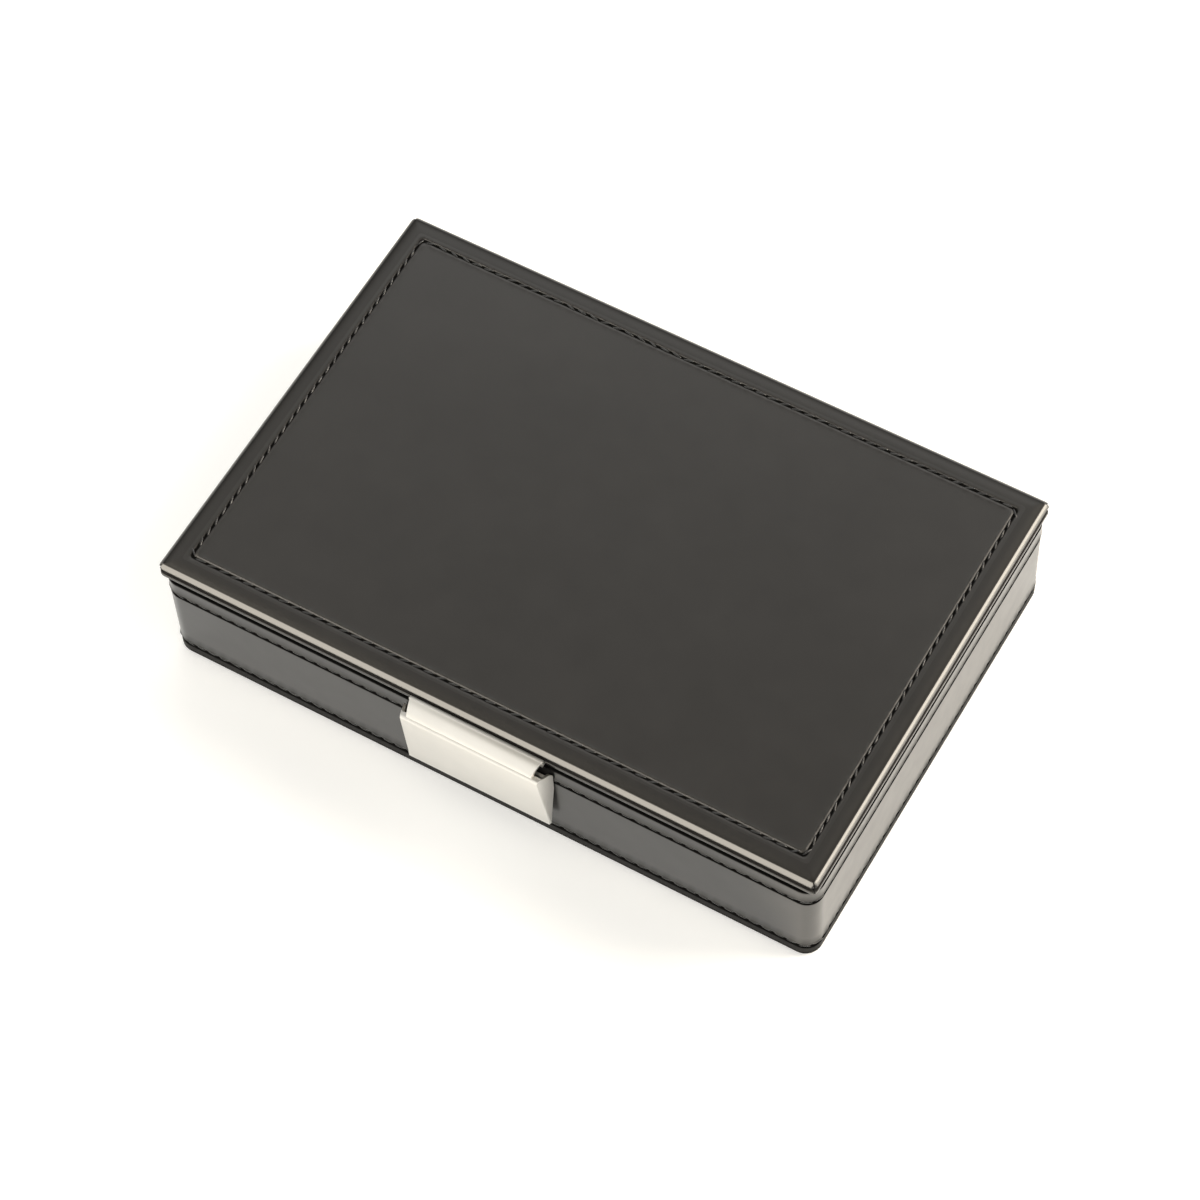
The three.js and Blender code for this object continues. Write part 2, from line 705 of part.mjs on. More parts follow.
function claspBracket() {
  const back = -halfDepth - fitGap;
  const face = back - sheetThickness;
  const plate = block(
    [-bracketWidth / 2, face, bracketBottom],
    [bracketWidth / 2, back, bracketTop],
  );
  const lugs = [-1, 1].flatMap((sign) => {
    const ends = ordered((sign * bracketWidth) / 2, sign * (bracketWidth / 2 - sheetThickness));
    const arm = block(
      [ends[0], latchPinY, latchPinHeight - bracketLugRadius],
      [ends[1], back, latchPinHeight + bracketLugRadius],
    );
    const eye = barAlongX(bracketLugRadius, sheetThickness, latchPinY, latchPinHeight);
    return [arm, eye.translate((ends[0] + ends[1]) / 2, 0, 0)];
  });
  const window = block(
    [
      -springWindowWidth / 2,
      face - overrun,
      latchPinHeight - springTail - springWireRadius - fitGap,
    ],
    [
      springWindowWidth / 2,
      back + overrun,
      latchPinHeight + springRadius + springWireRadius + fitGap,
    ],
  );
  const bore = barAlongX(latchPinRadius + runningGap, plateWidth, latchPinY, latchPinHeight);
  return cut(join(plate, ...lugs), window, bore, ...rivetHoles);
}

// A rivet with a low domed head, through the bracket, the skin and the wall.
const DOME_STEPS = 3;
function bracketRivet() {
  const seat = sheetThickness + 2 * fitGap;
  const dome = Array.from({ length: DOME_STEPS + 1 }, (_, i) => {
    const angle = ((i / DOME_STEPS) * Math.PI) / 2;
    return [rivetHeadRadius * Math.cos(angle), rivetHeadHeight * Math.sin(angle)];
  });
  dome[DOME_STEPS][0] = 0;
  const shank = [0, rivetShankRadius].map((r) => [r, -seat - rivetReach]);
  const rivet = turned([...shank, [rivetShankRadius, 0], ...dome]);
  return rivet.rotateX(Math.PI / 2).translate(0, -halfDepth - seat, 0);
}

// Torsion spring round the pin: one leg bears on the latch plate, the other on the box's front.
const COIL_STEPS = 8;
const WIRE_SIDES = 5;
function springLine() {
  const steps = COIL_STEPS * springTurns;
  const length = springPitch * springTurns;
  const coil = Array.from({ length: steps + 1 }, (_, i) => {
    const angle = (2 * Math.PI * i) / COIL_STEPS;
    const out = latchPinStand + springRadius * Math.cos(angle);
    const z = latchPinHeight + springRadius * Math.sin(angle);
    return new THREE.Vector3((length * i) / steps - length / 2, -halfDepth - out, z);
  });
  const leg = coil[0].clone().add(new THREE.Vector3(0, springLegLean, -springLeg));
  const tail = coil[steps].clone().add(new THREE.Vector3(0, 0, -springTail));
  return [leg, ...coil, tail];
}

// The least gap between two stretches of the wire that are not neighbours.
function leastGap(line) {
  let least = Infinity;
  line.forEach((point, i) =>
    line.slice(i + COIL_STEPS / 2).forEach((other) => {
      least = Math.min(least, point.distanceTo(other) - 2 * springWireRadius);
    }),
  );
  return least;
}

function latchSpring() {
  const line = springLine();
  console.log("latch spring, least gap to itself: " + leastGap(line).toFixed(2) + " mm");
  const rings = line.map((point, i) => {
    const ahead = line[Math.min(i + 1, line.length - 1)];
    const behind = line[Math.max(i - 1, 0)];
    const along = ahead.clone().sub(behind).normalize();
    const side = new THREE.Vector3(1, 0, 0).addScaledVector(along, -along.x).normalize();
    const up = along.clone().cross(side);
    return Array.from({ length: WIRE_SIDES }, (_, k) => {
      const angle = (2 * Math.PI * k) / WIRE_SIDES;
      return point
        .clone()
        .addScaledVector(side, springWireRadius * Math.cos(angle))
        .addScaledVector(up, springWireRadius * Math.sin(angle))
        .toArray();
    });
  });
  return loft(rings, false);
}

// The box: a base, a lid on its hinges and a latch on its pin
const base = new THREE.Group();
base.add(
  mesh("underside_felt", undersideFelt(), felt),
  mesh("floor_board", floorBoard(), board),
  mesh("front_wall", frontWall(), board),
  mesh("back_wall", backWall(), board),
  mesh("left_wall", sideWall(-1), board),
  mesh("right_wall", sideWall(1), board),
  mesh("base_cover", baseCover(), leatherette),
  mesh("floor_pad", floorPad(), velvet),
  mesh("front_lining", longLining(-1), velvet),
  mesh("back_lining", longLining(1), velvet),
  mesh("left_lining", shortLining(-1), velvet),
  mesh("right_lining", shortLining(1), velvet),
  mesh("clasp_bracket", claspBracket(), nickel),
  mesh("latch_pin", latchPin(), steel),
);
longPlaces.forEach((y, i) => base.add(mesh("long_divider_" + (i + 1), longDivider(y), velvet)));
crossPlaces.forEach((x, i) => base.add(mesh("cross_divider_" + (i + 1), crossDivider(x), velvet)));

const lid = new THREE.Group();
lid.add(
  mesh("lid_board", lidBoard(), board),
  mesh("lid_cover", lidCover(), leatherette),
  mesh("lid_panel", lidPanel(), velvet),
  mesh("clasp_hood", claspHood(), nickel),
  mesh("striker", striker(), steel),
);

const latch = new THREE.Group();
latch.add(mesh("latch_plate", latchPlate(), nickel), mesh("latch_spring", latchSpring(), steel));

for (const [side, middle] of Object.entries(hingeSides)) {
  base.add(mesh(side + "_base_leaf", baseLeaf(middle), nickel));
  base.add(mesh(side + "_hinge_pin", hingePin(middle), steel));
  lid.add(mesh(side + "_lid_leaf", lidLeaf(middle), nickel));
  for (const [end, sign] of Object.entries({ outer: Math.sign(middle), inner: -Math.sign(middle) })) {
    const x = middle + sign * hingeScrewX;
    const down = mesh(side + "_base_screw_" + end, screw(baseScrewLength), steel);
    down.position.set(x, hingeScrewY, baseScrewTop);
    base.add(down);
    lid.add(mesh(side + "_lid_screw_" + end, upScrew(x, hingeScrewY), steel));
  }
}

for (const [place, x] of Object.entries(claspScrewPlaces)) {
  lid.add(mesh("clasp_screw_" + place, upScrew(x, claspScrewY), steel));
}

for (const [side, sign] of Object.entries({ left: -1, right: 1 })) {
  const rivet = mesh("bracket_rivet_" + side, bracketRivet(), steel);
  rivet.position.set((sign * rivetSpacing) / 2, 0, rivetHeight);
  base.add(rivet);
}

const box = new THREE.Group();
box.add(base, lid, latch);
export default box;
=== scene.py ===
# %% [markdown]
# A cufflink display box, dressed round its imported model. The real box is made of boards that are
# wrapped in leatherette, sewn round the lid and twice round the base, with a nickel clasp in
# front, stop hinges behind and a velvet lining that dividers part into fifteen compartments.
# The scene is in metres, and every piece lies where the model has its solids.

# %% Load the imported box
import math

import bmesh
import bpy
from mathutils import Matrix, Vector


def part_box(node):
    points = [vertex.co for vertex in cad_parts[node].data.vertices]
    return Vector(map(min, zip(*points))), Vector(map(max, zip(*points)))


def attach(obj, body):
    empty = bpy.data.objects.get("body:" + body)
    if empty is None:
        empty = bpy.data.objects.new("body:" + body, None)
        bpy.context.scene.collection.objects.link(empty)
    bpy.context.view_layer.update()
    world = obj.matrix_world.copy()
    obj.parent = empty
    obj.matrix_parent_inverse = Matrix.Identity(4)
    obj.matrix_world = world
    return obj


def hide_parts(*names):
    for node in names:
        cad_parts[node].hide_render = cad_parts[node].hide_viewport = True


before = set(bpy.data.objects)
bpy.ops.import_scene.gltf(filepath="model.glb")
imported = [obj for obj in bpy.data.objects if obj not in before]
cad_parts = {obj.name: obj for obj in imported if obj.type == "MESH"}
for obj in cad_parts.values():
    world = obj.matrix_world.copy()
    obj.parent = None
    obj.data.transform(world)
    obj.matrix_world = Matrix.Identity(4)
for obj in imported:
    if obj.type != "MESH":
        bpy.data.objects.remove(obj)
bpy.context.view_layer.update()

# %% [markdown]
# Small tools come first. The pieces' sizes are written in millimetres, as a maker would give
# them, and are turned to metres where they are used. The camera and the lights are placed in
# metres. Colours are written as they look on a screen and turned to linear light. A shader tree
# is easier to read when one line adds a node with its settings and its links, so the nodes that
# come back often have a short function each.

# %% Millimetres, colours and nodes
MM = 0.001


def linear(colour):
    """A screen colour such as "3a3a3a" as linear red, green, blue and alpha."""
    parts = [int(colour[i:i + 2], 16) / 255 for i in (0, 2, 4)]
    return [p / 12.92 if p <= 0.04045 else ((p + 0.055) / 1.055) ** 2.4 for p in parts] + [1]


def per(size_mm):
    """The texture scale at which one cell or wave is this many millimetres."""
    return 1 / (size_mm * MM)


def fill(tree, node, **inputs):
    """Sets inputs to values or links them to sockets. _ is a space in a name, i0 the first place."""
    for name, value in inputs.items():
        by_place = name[0] == "i" and name[1:].isdigit()
        socket = node.inputs[int(name[1:]) if by_place else name.replace("_", " ")]
        if isinstance(value, bpy.types.NodeSocket):
            tree.links.new(value, socket)
        else:
            socket.default_value = value


def add_node(tree, kind, settings=None, **inputs):
    """Adds a node with its settings and its inputs."""
    made = tree.nodes.new(kind)
    for name, value in (settings or {}).items():
        setattr(made, name, value)
    fill(tree, made, **inputs)
    return made


def maths(tree, operation, *values):
    """The outcome of one operation on numbers or sockets."""
    inputs = {"i%d" % place: value for place, value in enumerate(values)}
    return add_node(tree, "ShaderNodeMath", {"operation": operation}, **inputs).outputs[0]


def ranged(tree, value, low, high, start=0.0, stop=1.0):
    """A value between start and stop, brought between low and high."""
    return add_node(tree, "ShaderNodeMapRange", Value=value, From_Min=start, From_Max=stop,
                    To_Min=low, To_Max=high).outputs[0]


def noise(tree, where, size_mm, detail, **inputs):
    """A cloudy pattern from 0 to 1 whose clouds have a size in mm."""
    return add_node(tree, "ShaderNodeTexNoise", Vector=where, Scale=per(size_mm), Detail=detail,
                    **inputs).outputs["Fac"]


def two_tones(tree, blend, first, second):
    """A colour between two colours."""
    return add_node(tree, "ShaderNodeMix", {"data_type": "RGBA"}, Factor=blend,
                    A=first, B=second).outputs["Result"]


def bumped(tree, height, strength, depth_mm, **inputs):
    """A normal that follows a height."""
    return add_node(tree, "ShaderNodeBump", Height=height, Strength=strength, Distance=depth_mm * MM,
                    **inputs).outputs[0]


def new_material(name):
    """An empty material with a principled surface, and its node tree."""
    material = bpy.data.materials.new(name)
    material.use_nodes = True
    tree = material.node_tree
    tree.nodes.clear()
    surface = add_node(tree, "ShaderNodeBsdfPrincipled")
    add_node(tree, "ShaderNodeOutputMaterial", Surface=surface.outputs["BSDF"])
    print("material:", name)
    return material, tree, surface


def own_space(tree):
    """Places measured from a piece's own origin."""
    return add_node(tree, "ShaderNodeTexCoord").outputs["Object"]


# %% Objects and meshes
def placed(name, data):
    """A new object in the scene."""
    made = bpy.data.objects.new(name, data)
    bpy.context.scene.collection.objects.link(made)
    return made


def mesh_of(name, points, edges=(), faces=()):
    """A mesh through points in mm."""
    shape = bpy.data.meshes.new(name)
    shape.from_pydata([tuple(v * MM for v in point) for point in points], edges, faces)
    return shape


def faced_out(shape):
    """Turns every face of a closed mesh outwards."""
    draft = bmesh.new()
    draft.from_mesh(shape)
    bmesh.ops.recalc_face_normals(draft, faces=draft.faces)
    draft.to_mesh(shape)
    draft.free()
    return shape


# %% [markdown]
# The photograph was taken with a long lens, from the front right and well above the box. The
# camera below was worked out from the box's straight edges, so its place, turn and focal length
# are given as numbers. The slight roll of the photograph is in its turn.

# %% Camera
SENSOR, LENS = 36, 119.94
CAMERA_PLACE = (0.27810, -0.43373, 0.85414)
PICTURE_RIGHT = Vector((0.86609, 0.49891, -0.03124))
PICTURE_UP = Vector((-0.41255, 0.74867, 0.51894))
LOOKING = Vector((-0.28229, 0.43656, -0.85424))

camera_data = bpy.data.cameras.new("camera")
camera_data.sensor_width = SENSOR
camera_data.lens = LENS
camera = placed("camera", camera_data)
turn = Matrix((PICTURE_RIGHT, PICTURE_UP, -LOOKING)).transposed().to_4x4()
camera.matrix_world = Matrix.Translation(CAMERA_PLACE) @ turn
bpy.context.scene.camera = camera
bpy.context.scene.view_settings.view_transform = "Standard"
print("camera", [round(v, 4) for v in camera.location], "lens", camera_data.lens)

# %% [markdown]
# A product photograph on white uses large soft lights and a pale sweep. Here the sweep is a plain
# floor. Camera, glossy and transmission rays see some added white on it, so that the background
# is white while the box still casts its soft shadow there. The world is a pale room with a dark
# ceiling. The lid's top mirrors the edge of that ceiling, so it is dark and lighter at the back.

# %% Floor
FLOOR_HALF = 4000
FLOOR_GLOW = 0.3

corners = [(x * FLOOR_HALF, y * FLOOR_HALF, 0) for x, y in ((-1, -1), (1, -1), (1, 1), (-1, 1))]
floor = placed("studio_floor", mesh_of("studio_floor", corners, faces=[(0, 1, 2, 3)]))

paper, tree, surface = new_material("white paper sweep")
rays = add_node(tree, "ShaderNodeLightPath")
seen = maths(tree, "MAXIMUM", rays.outputs["Is Camera Ray"], rays.outputs["Is Glossy Ray"])
seen = maths(tree, "MAXIMUM", seen, rays.outputs["Is Transmission Ray"])
fill(tree, surface, Base_Color=linear("f4f4f2"), Roughness=1, Specular_IOR_Level=0,
     Emission_Color=linear("ffffff"), Emission_Strength=maths(tree, "MULTIPLY", seen, FLOOR_GLOW))
floor.data.materials.append(paper)
print("floor:", 2 * FLOOR_HALF * MM, "m wide")

# %% World
ROOM_LEVEL, CEILING_LEVEL = 1.05, 0.03
CEILING_BEGINS, CEILING_FULL = 0.8, 0.93

world = bpy.data.worlds.new("pale studio room")
bpy.context.scene.world = world
world.use_nodes = True
tree = world.node_tree
tree.nodes.clear()
rays = add_node(tree, "ShaderNodeLightPath")
where = add_node(tree, "ShaderNodeTexCoord")
upward = add_node(tree, "ShaderNodeSeparateXYZ", Vector=where.outputs["Generated"]).outputs["Z"]
level = ranged(tree, upward, ROOM_LEVEL, CEILING_LEVEL, CEILING_BEGINS, CEILING_FULL)
room = add_node(tree, "ShaderNodeBackground", Color=linear("fffdf8"), Strength=level)
white = add_node(tree, "ShaderNodeBackground", Color=linear("ffffff"), Strength=1.0)
mixed = add_node(tree, "ShaderNodeMixShader", Fac=rays.outputs["Is Camera Ray"],
                 i1=room.outputs[0], i2=white.outputs[0])
add_node(tree, "ShaderNodeOutputWorld", Surface=mixed.outputs[0])
print("room:", ROOM_LEVEL, "ceiling:", CEILING_LEVEL)

# %% [markdown]
# A key softbox stands behind and to the right, so that the front lies in its own soft shade. A
# faint one behind the box adds to the light on the top's back. Two more are mirrored by the
# rounded edges towards the front and the right: they show in the leatherette's gloss alone, as
# flagged lights do. Faint ones fill the front and draw the clasp's ridge, and the last lights
# the sweep.

# %% Lights
leather_lights = bpy.data.collections.new("leatherette")
metal_lights = bpy.data.collections.new("metal")
sweep = bpy.data.collections.new("sweep")
sweep.objects.link(floor)


def softbox(name, place, size, radiance, shines_on=None, gloss_only=False, colour="fff6e6"):
    """A square area light that faces the box. Its radiance is what it looks like: 1 is white."""
    data = bpy.data.lights.new(name, "AREA")
    data.shape = "SQUARE"
    data.size = size
    data.energy = radiance * math.pi * size * size
    data.color = linear(colour)[:3]
    lamp = placed(name, data)
    place = Vector(place)
    lamp.location = place
    lamp.rotation_euler = (-place).to_track_quat("-Z", "Y").to_euler()
    lamp.visible_camera = False
    lamp.visible_diffuse = not gloss_only
    if shines_on:
        lamp.light_linking.receiver_collection = shines_on
    print(name, "radiance", radiance, "power", round(data.energy, 2))


softbox("key_softbox", place=(1.2, 0.95, 1.05), size=1.0, radiance=13.0, colour="fff2df")
softbox("back_softbox", place=(-0.4, 1.2, 0.8), size=1.1, radiance=1.2, colour="fffefc")
softbox("front_edge_light", place=(-0.2, -0.53, 0.48), size=1.2, radiance=11.5,
        shines_on=leather_lights, gloss_only=True)
softbox("right_edge_light", place=(0.62, 0.42, 0.34), size=1.2, radiance=7.6,
        shines_on=leather_lights, gloss_only=True)
softbox("front_fill", place=(-0.3, -1.0, 0.7), size=1.2, radiance=0.2)
softbox("clasp_light", place=(-0.25, -0.45, 1.2), size=0.9, radiance=0.25, shines_on=metal_lights)
softbox("sweep_light", place=(-0.45, -1.25, 0.95), size=1.0, radiance=1.2, shines_on=sweep)

# %% [markdown]
# The outside is leatherette: a woven cloth with a coat of polyurethane, pressed smooth against a
# hot roller. The eye gets a near-black brown-grey with a soft gloss, slightly uneven because the
# coat follows the board below, a very fine pressed grain, and a smoother shine where the skin is
# stretched round an edge. The grain of 0.5 mm is too fine to show from far off, so its bump is
# faint. The skin's meshes carry two attributes: one says where they are stretched, the other where
# shade is painted. There, in the creases, pleats and sewn lines, in the step under the rim, along
# the foot, over the rim, under the lid and on the lid's margin, the colour is painted towards black
# as shade and the coat's shine is taken away.

# %% Leatherette
CLOUD, PATCH, GRAIN, WAVE = 38, 6, 0.5, 22
GRAIN_STRENGTH, GRAIN_DEPTH, WAVE_STRENGTH, WAVE_DEPTH = 0.08, 0.05, 0.25, 0.6
ROUGH_LEAST, ROUGH_MOST = 0.28, 0.36
STRETCHED_ROUGH, FOLDED_ROUGH = -0.08, 0.5
COAT, COAT_ROUGH, GLOSS, FOLDED_GLOSS = 0.55, 0.2, 0.22, 0.02

leatherette, tree, surface = new_material("polyurethane leatherette, smooth pressed")
where = own_space(tree)
stretch = add_node(tree, "ShaderNodeAttribute", {"attribute_name": "stretch"}).outputs["Fac"]
# Painted shade: this attribute says where shade is painted into the colour and the coat is dulled.
painted_shade = add_node(tree, "ShaderNodeAttribute", {"attribute_name": "painted_shade"}).outputs["Fac"]
plain_tone = two_tones(tree, noise(tree, where, CLOUD, 3.0), linear("141312"), linear("1c1b1a"))
rough = ranged(tree, noise(tree, where, PATCH, 4.0), ROUGH_LEAST, ROUGH_MOST)
rough = maths(tree, "MULTIPLY_ADD", stretch, STRETCHED_ROUGH, rough)
rough = maths(tree, "MULTIPLY_ADD", painted_shade, FOLDED_ROUGH, rough)
grain = add_node(tree, "ShaderNodeTexVoronoi", {"feature": "SMOOTH_F1"}, Vector=where, Scale=per(GRAIN))
pressed = bumped(tree, grain.outputs["Distance"], GRAIN_STRENGTH, GRAIN_DEPTH)
pressed = bumped(tree, noise(tree, where, WAVE, 2.0), WAVE_STRENGTH, WAVE_DEPTH, Normal=pressed)
# Painted shade: the colour is mixed towards near black 030303 wherever that attribute is set.
fill(tree, surface, Base_Color=two_tones(tree, painted_shade, plain_tone, linear("030303")), Roughness=rough,
     Normal=pressed, Coat_Weight=ranged(tree, painted_shade, COAT, 0.0), Coat_Roughness=COAT_ROUGH,
     Specular_IOR_Level=ranged(tree, painted_shade, GLOSS, FOLDED_GLOSS))

# %% [markdown]
# The skins are closed shells with a long, even outline, so they are built as rows of rings. Each
# ring is a rounded rectangle with the same number of points, about four to a stitch. That leaves
# room to press the sewn grooves into the shape itself: the thread pulls the skin down at every
# needle hole and lets it swell beside the line, which plain bump would not give in outline.

# %% Rings
CORNER_SPANS = 8
SHARPEST_CORNER = 0.4


def rounded_ring(half_x, half_y, radius, long_spans, short_spans):
    """A rounded rectangle, counter-clockwise from above: x, y and the way out at each point."""
    arcs = []
    for corner in range(4):
        side_x = 1 if corner in (0, 3) else -1
        side_y = 1 if corner < 2 else -1
        centre = Vector((side_x * (half_x - radius), side_y * (half_y - radius)))
        arc = []
        for step in range(CORNER_SPANS + 1):
            angle = (corner + step / CORNER_SPANS) * math.pi / 2
            out = Vector((math.cos(angle), math.sin(angle)))
            arc.append((centre + out * radius, out))
        arcs.append(arc)
    ring = []
    for corner in range(4):
        (here, out), (there, _) = arcs[corner][-1], arcs[(corner + 1) % 4][0]
        spans = long_spans if corner in (0, 2) else short_spans
        ring += arcs[corner]
        ring += [(here.lerp(there, i / spans), out) for i in range(1, spans)]
    return ring


def lengths_along(ring):
    """How far along its outline each point of a ring lies, and the outline's whole length."""
    along, total = [], 0.0
    for i, (point, _) in enumerate(ring):
        along.append(total)
        total += (ring[(i + 1) % len(ring)][0] - point).length
    return along, total


def bend(centre, radius, start, end, steps):
    """Points of inset and height on part of a circle, by its angles in degrees."""
    angles = [math.radians(start + (end - start) * i / steps) for i in range(steps + 1)]
    return [(centre[0] + radius * math.cos(a), centre[1] + radius * math.sin(a)) for a in angles]


# %% Sewn grooves
STITCH_PITCH = 3.4
GROOVE_ROWS = (-1.6, -1.2, -0.95, -0.72, -0.5, -0.32, -0.16, 0, 0.16, 0.32, 0.5, 0.72, 0.95, 1.2, 1.6)
LIP_DISTANCE, LIP_WIDTH = 0.9, 0.35
SHALLOWER_SHARE, PROUDER_SHARE = 0.2, 0.6


def groove(distance, turns, depth, lip, width, tug=1.0):
    """How deep the skin lies by a sewn line, in mm. Whole turns are at the stitches' middles."""
    pull = tug * math.cos(2 * math.pi * turns)
    valley = math.exp(-((distance / width) ** 2)) * depth * (1 - SHALLOWER_SHARE * pull)
    swell = math.exp(-(((distance - LIP_DISTANCE) / LIP_WIDTH) ** 2)) * lip * (1 + PROUDER_SHARE * pull)
    return valley - swell


# %% Shells
def shell_from(name, rings, closed, stretches, painted_shades):
    """A closed mesh through rings of points in mm, with a stretch and a painted shade level at every point.
    """
    count = len(rings[0])
    points = [point for ring in rings for point in ring]
    levels = len(rings) if closed else len(rings) - 1
    faces = []
    for level in range(levels):
        here, there = level * count, (level + 1) % len(rings) * count
        for i in range(count):
            j = (i + 1) % count
            faces.append((here + i, here + j, there + j, there + i))
    if not closed:
        last = (len(rings) - 1) * count
        faces += [tuple(reversed(range(count))), tuple(range(last, last + count))]
    shape = mesh_of(name, points, faces=faces)
    for label, values in (("stretch", stretches), ("painted_shade", painted_shades)):
        attribute = shape.attributes.new(label, "FLOAT", "POINT")
        attribute.data.foreach_set("value", [v for row in values for v in row])
    return placed(name, faced_out(shape))


def made_plain(piece):
    """Applies a piece's modifiers and leaves a plain mesh."""
    graph = bpy.context.evaluated_depsgraph_get()
    shape = bpy.data.meshes.new_from_object(piece.evaluated_get(graph), depsgraph=graph)
    piece.modifiers.clear()
    piece.data = shape
    return piece


def smooth(piece, angle=40):
    """Smooth shading that keeps edges sharper than an angle in degrees."""
    piece.data.polygons.foreach_set("use_smooth", [True] * len(piece.data.polygons))
    piece.data.set_sharp_from_angle(angle=math.radians(angle))
    return piece


def finish_piece(piece, body, slot, material=None, replaced=()):
    """Rides on a body, takes a material, and stands for CAD nodes. Leatherette and metal pieces join the
    collections their lights shine on.
    """
    if material:
        piece.data.materials.clear()
        piece.data.materials.append(material)
    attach(piece, body)
    if replaced:
        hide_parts(*replaced)
    if material is leatherette:
        leather_lights.objects.link(piece)
    if slot in ("nickel", "steel"):
        metal_lights.objects.link(piece)
    print(piece.name, "faces", len(piece.data.polygons), "on", body)


# %% [markdown]
# Windows are cut in the skins where the hinges and the clasp go in. A prism drawn in the side
# view and run along the box is the plainest cutter, and one Boolean modifier takes them all.

# %% Windows
def prism(outline, left, right):
    """Points in mm and faces of an outline of y and z, run from left to right."""
    count = len(outline)
    points = [(x, y, z) for x in (left, right) for y, z in outline]
    faces = [(i, (i + 1) % count, count + (i + 1) % count, count + i) for i in range(count)]
    return points, faces + [tuple(reversed(range(count))), tuple(range(count, 2 * count))]


def cut_prisms(piece, prisms):
    """Takes closed prisms away from a piece."""
    points, faces = [], []
    for corners, sides in prisms:
        faces += [tuple(len(points) + i for i in side) for side in sides]
        points += corners
    cutter = placed("cutter", faced_out(mesh_of("cutter", points, faces=faces)))
    modifier = piece.modifiers.new("windows", "BOOLEAN")
    modifier.object = cutter
    modifier.operation = "DIFFERENCE"
    modifier.solver = "EXACT"
    made_plain(piece)
    bpy.data.objects.remove(cutter)


def mm_box(node):
    """A CAD node's lowest and highest corner, in mm."""
    return [[v / MM for v in corner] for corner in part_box(node)]


def middle_of(node, axis):
    """The middle of a CAD node's box along an axis, in mm."""
    low, high = mm_box(node)
    return (low[axis] + high[axis]) / 2


SKIN = 0.8
FIT = 0.3
OVERRUN = 3.0
(base_low, base_high), (lid_low, lid_high) = mm_box("base_cover"), mm_box("lid_cover")
half_x, half_y = base_high[0], base_high[1]
lid_half_x, lid_half_y = lid_high[0], lid_high[1]
base_foot, base_rim = base_low[2], base_high[2]
lid_under, lid_top = lid_low[2], lid_high[2]
leaves = [mm_box(side + "_base_leaf") for side in ("left", "right")]
hinge_y, hinge_z = middle_of("left_hinge_pin", 1), middle_of("left_hinge_pin", 2)
knuckle_clear = leaves[0][1][1] - hinge_y + FIT


def hinge_windows(leaf_edge, knuckle_edge, open_edge):
    """One stepped prism for each hinge: shallow over its leaf and deeper over its knuckles."""
    inner, knuckle = leaves[0][0][1] - FIT, hinge_y - knuckle_clear
    outer = half_y + 2 * OVERRUN
    outline = [(inner, leaf_edge), (knuckle, leaf_edge), (knuckle, knuckle_edge),
               (outer, knuckle_edge), (outer, open_edge), (inner, open_edge)]
    return [prism(outline, low[0] - FIT, high[0] + FIT) for low, high in leaves]


print("hinge axis at y", round(hinge_y, 2), "z", round(hinge_z, 2))

# %% [markdown]
# The base's skin is one strip of leatherette: it starts under the floor, turns round the foot,
# rises up the walls with two sewn lines, rolls over the rim and is folded down inside. The upper
# line lies about 6.5 mm under the rim and the lower one just above the foot, as the photograph
# shows. A shallow step under the rim leaves the dark line that it shows between base and lid.
# Shade is painted black along both sewn lines, in the step, along the foot and under the floor,
# and at half strength over the rim and down inside.

# %% Base rows
COLUMN = 0.85
BASE_CORNER, BASE_FOOT, BASE_RIM, TURN_IN, WALL_INSIDE = 4.4, 1.1, 0.35, 10.0, 5.6
UPPER_LINE, LOWER_LINE = 27.3, 4.9
RECESS, RECESS_HEIGHT, RECESS_EASE, RECESS_FLAT = 0.7, 1.45, 0.15, 0.05
FOOT_ROWS, WALL_ROWS = (1.8, 2.3, 2.8), (9, 13, 17, 21, 24.2)
UPPER_ROW, UNDER_LEDGE, RIM_ROW = 30.6, 0.6, 1.5

ledge = base_rim - RECESS_HEIGHT
rows = [(TURN_IN, base_foot + SKIN), (TURN_IN, base_foot)]
rows += bend((BASE_FOOT, base_foot + BASE_FOOT), BASE_FOOT, 270, 180, 6)
rows += [(0, z) for z in FOOT_ROWS]
rows += [(0, LOWER_LINE + row) for row in GROOVE_ROWS]
rows += [(0, z) for z in WALL_ROWS]
rows += [(0, UPPER_LINE + row) for row in GROOVE_ROWS]
rows += [(0, UPPER_ROW), (0, ledge - UNDER_LEDGE)]
rows += bend((RECESS_EASE, ledge - RECESS_EASE), RECESS_EASE, 180, 90, 4)
rows += [(RECESS_EASE + RECESS_FLAT, ledge), (RECESS, ledge)]
rows += bend((RECESS + BASE_RIM, base_rim - BASE_RIM), BASE_RIM, 180, 90, 4)
rows += [(RIM_ROW, base_rim), (WALL_INSIDE, base_rim)]
rows += [(WALL_INSIDE, base_rim - SKIN), (SKIN, base_rim - SKIN), (SKIN, base_foot + SKIN)]
print("rows of the base:", len(rows))

# %% Base skin
UPPER_TUG, LOWER_TUG = 0.25, 1.0
BASE_GROOVE, BASE_LIP, BASE_GROOVE_WIDTH = 0.6, 0.2, 0.5
# Painted shade: its reach below and above each sewn line and in the step, its fade up the foot, and its half
# strength over the rim.
SHADE_BELOW_LINE, SHADE_ABOVE_LINE, STEP_SLACK = -1.0, 0.4, 0.2
FOOT_SHADE_FROM, FOOT_SHADE_FADE, TURNED_SHADE = 1.0, 0.25, 0.5

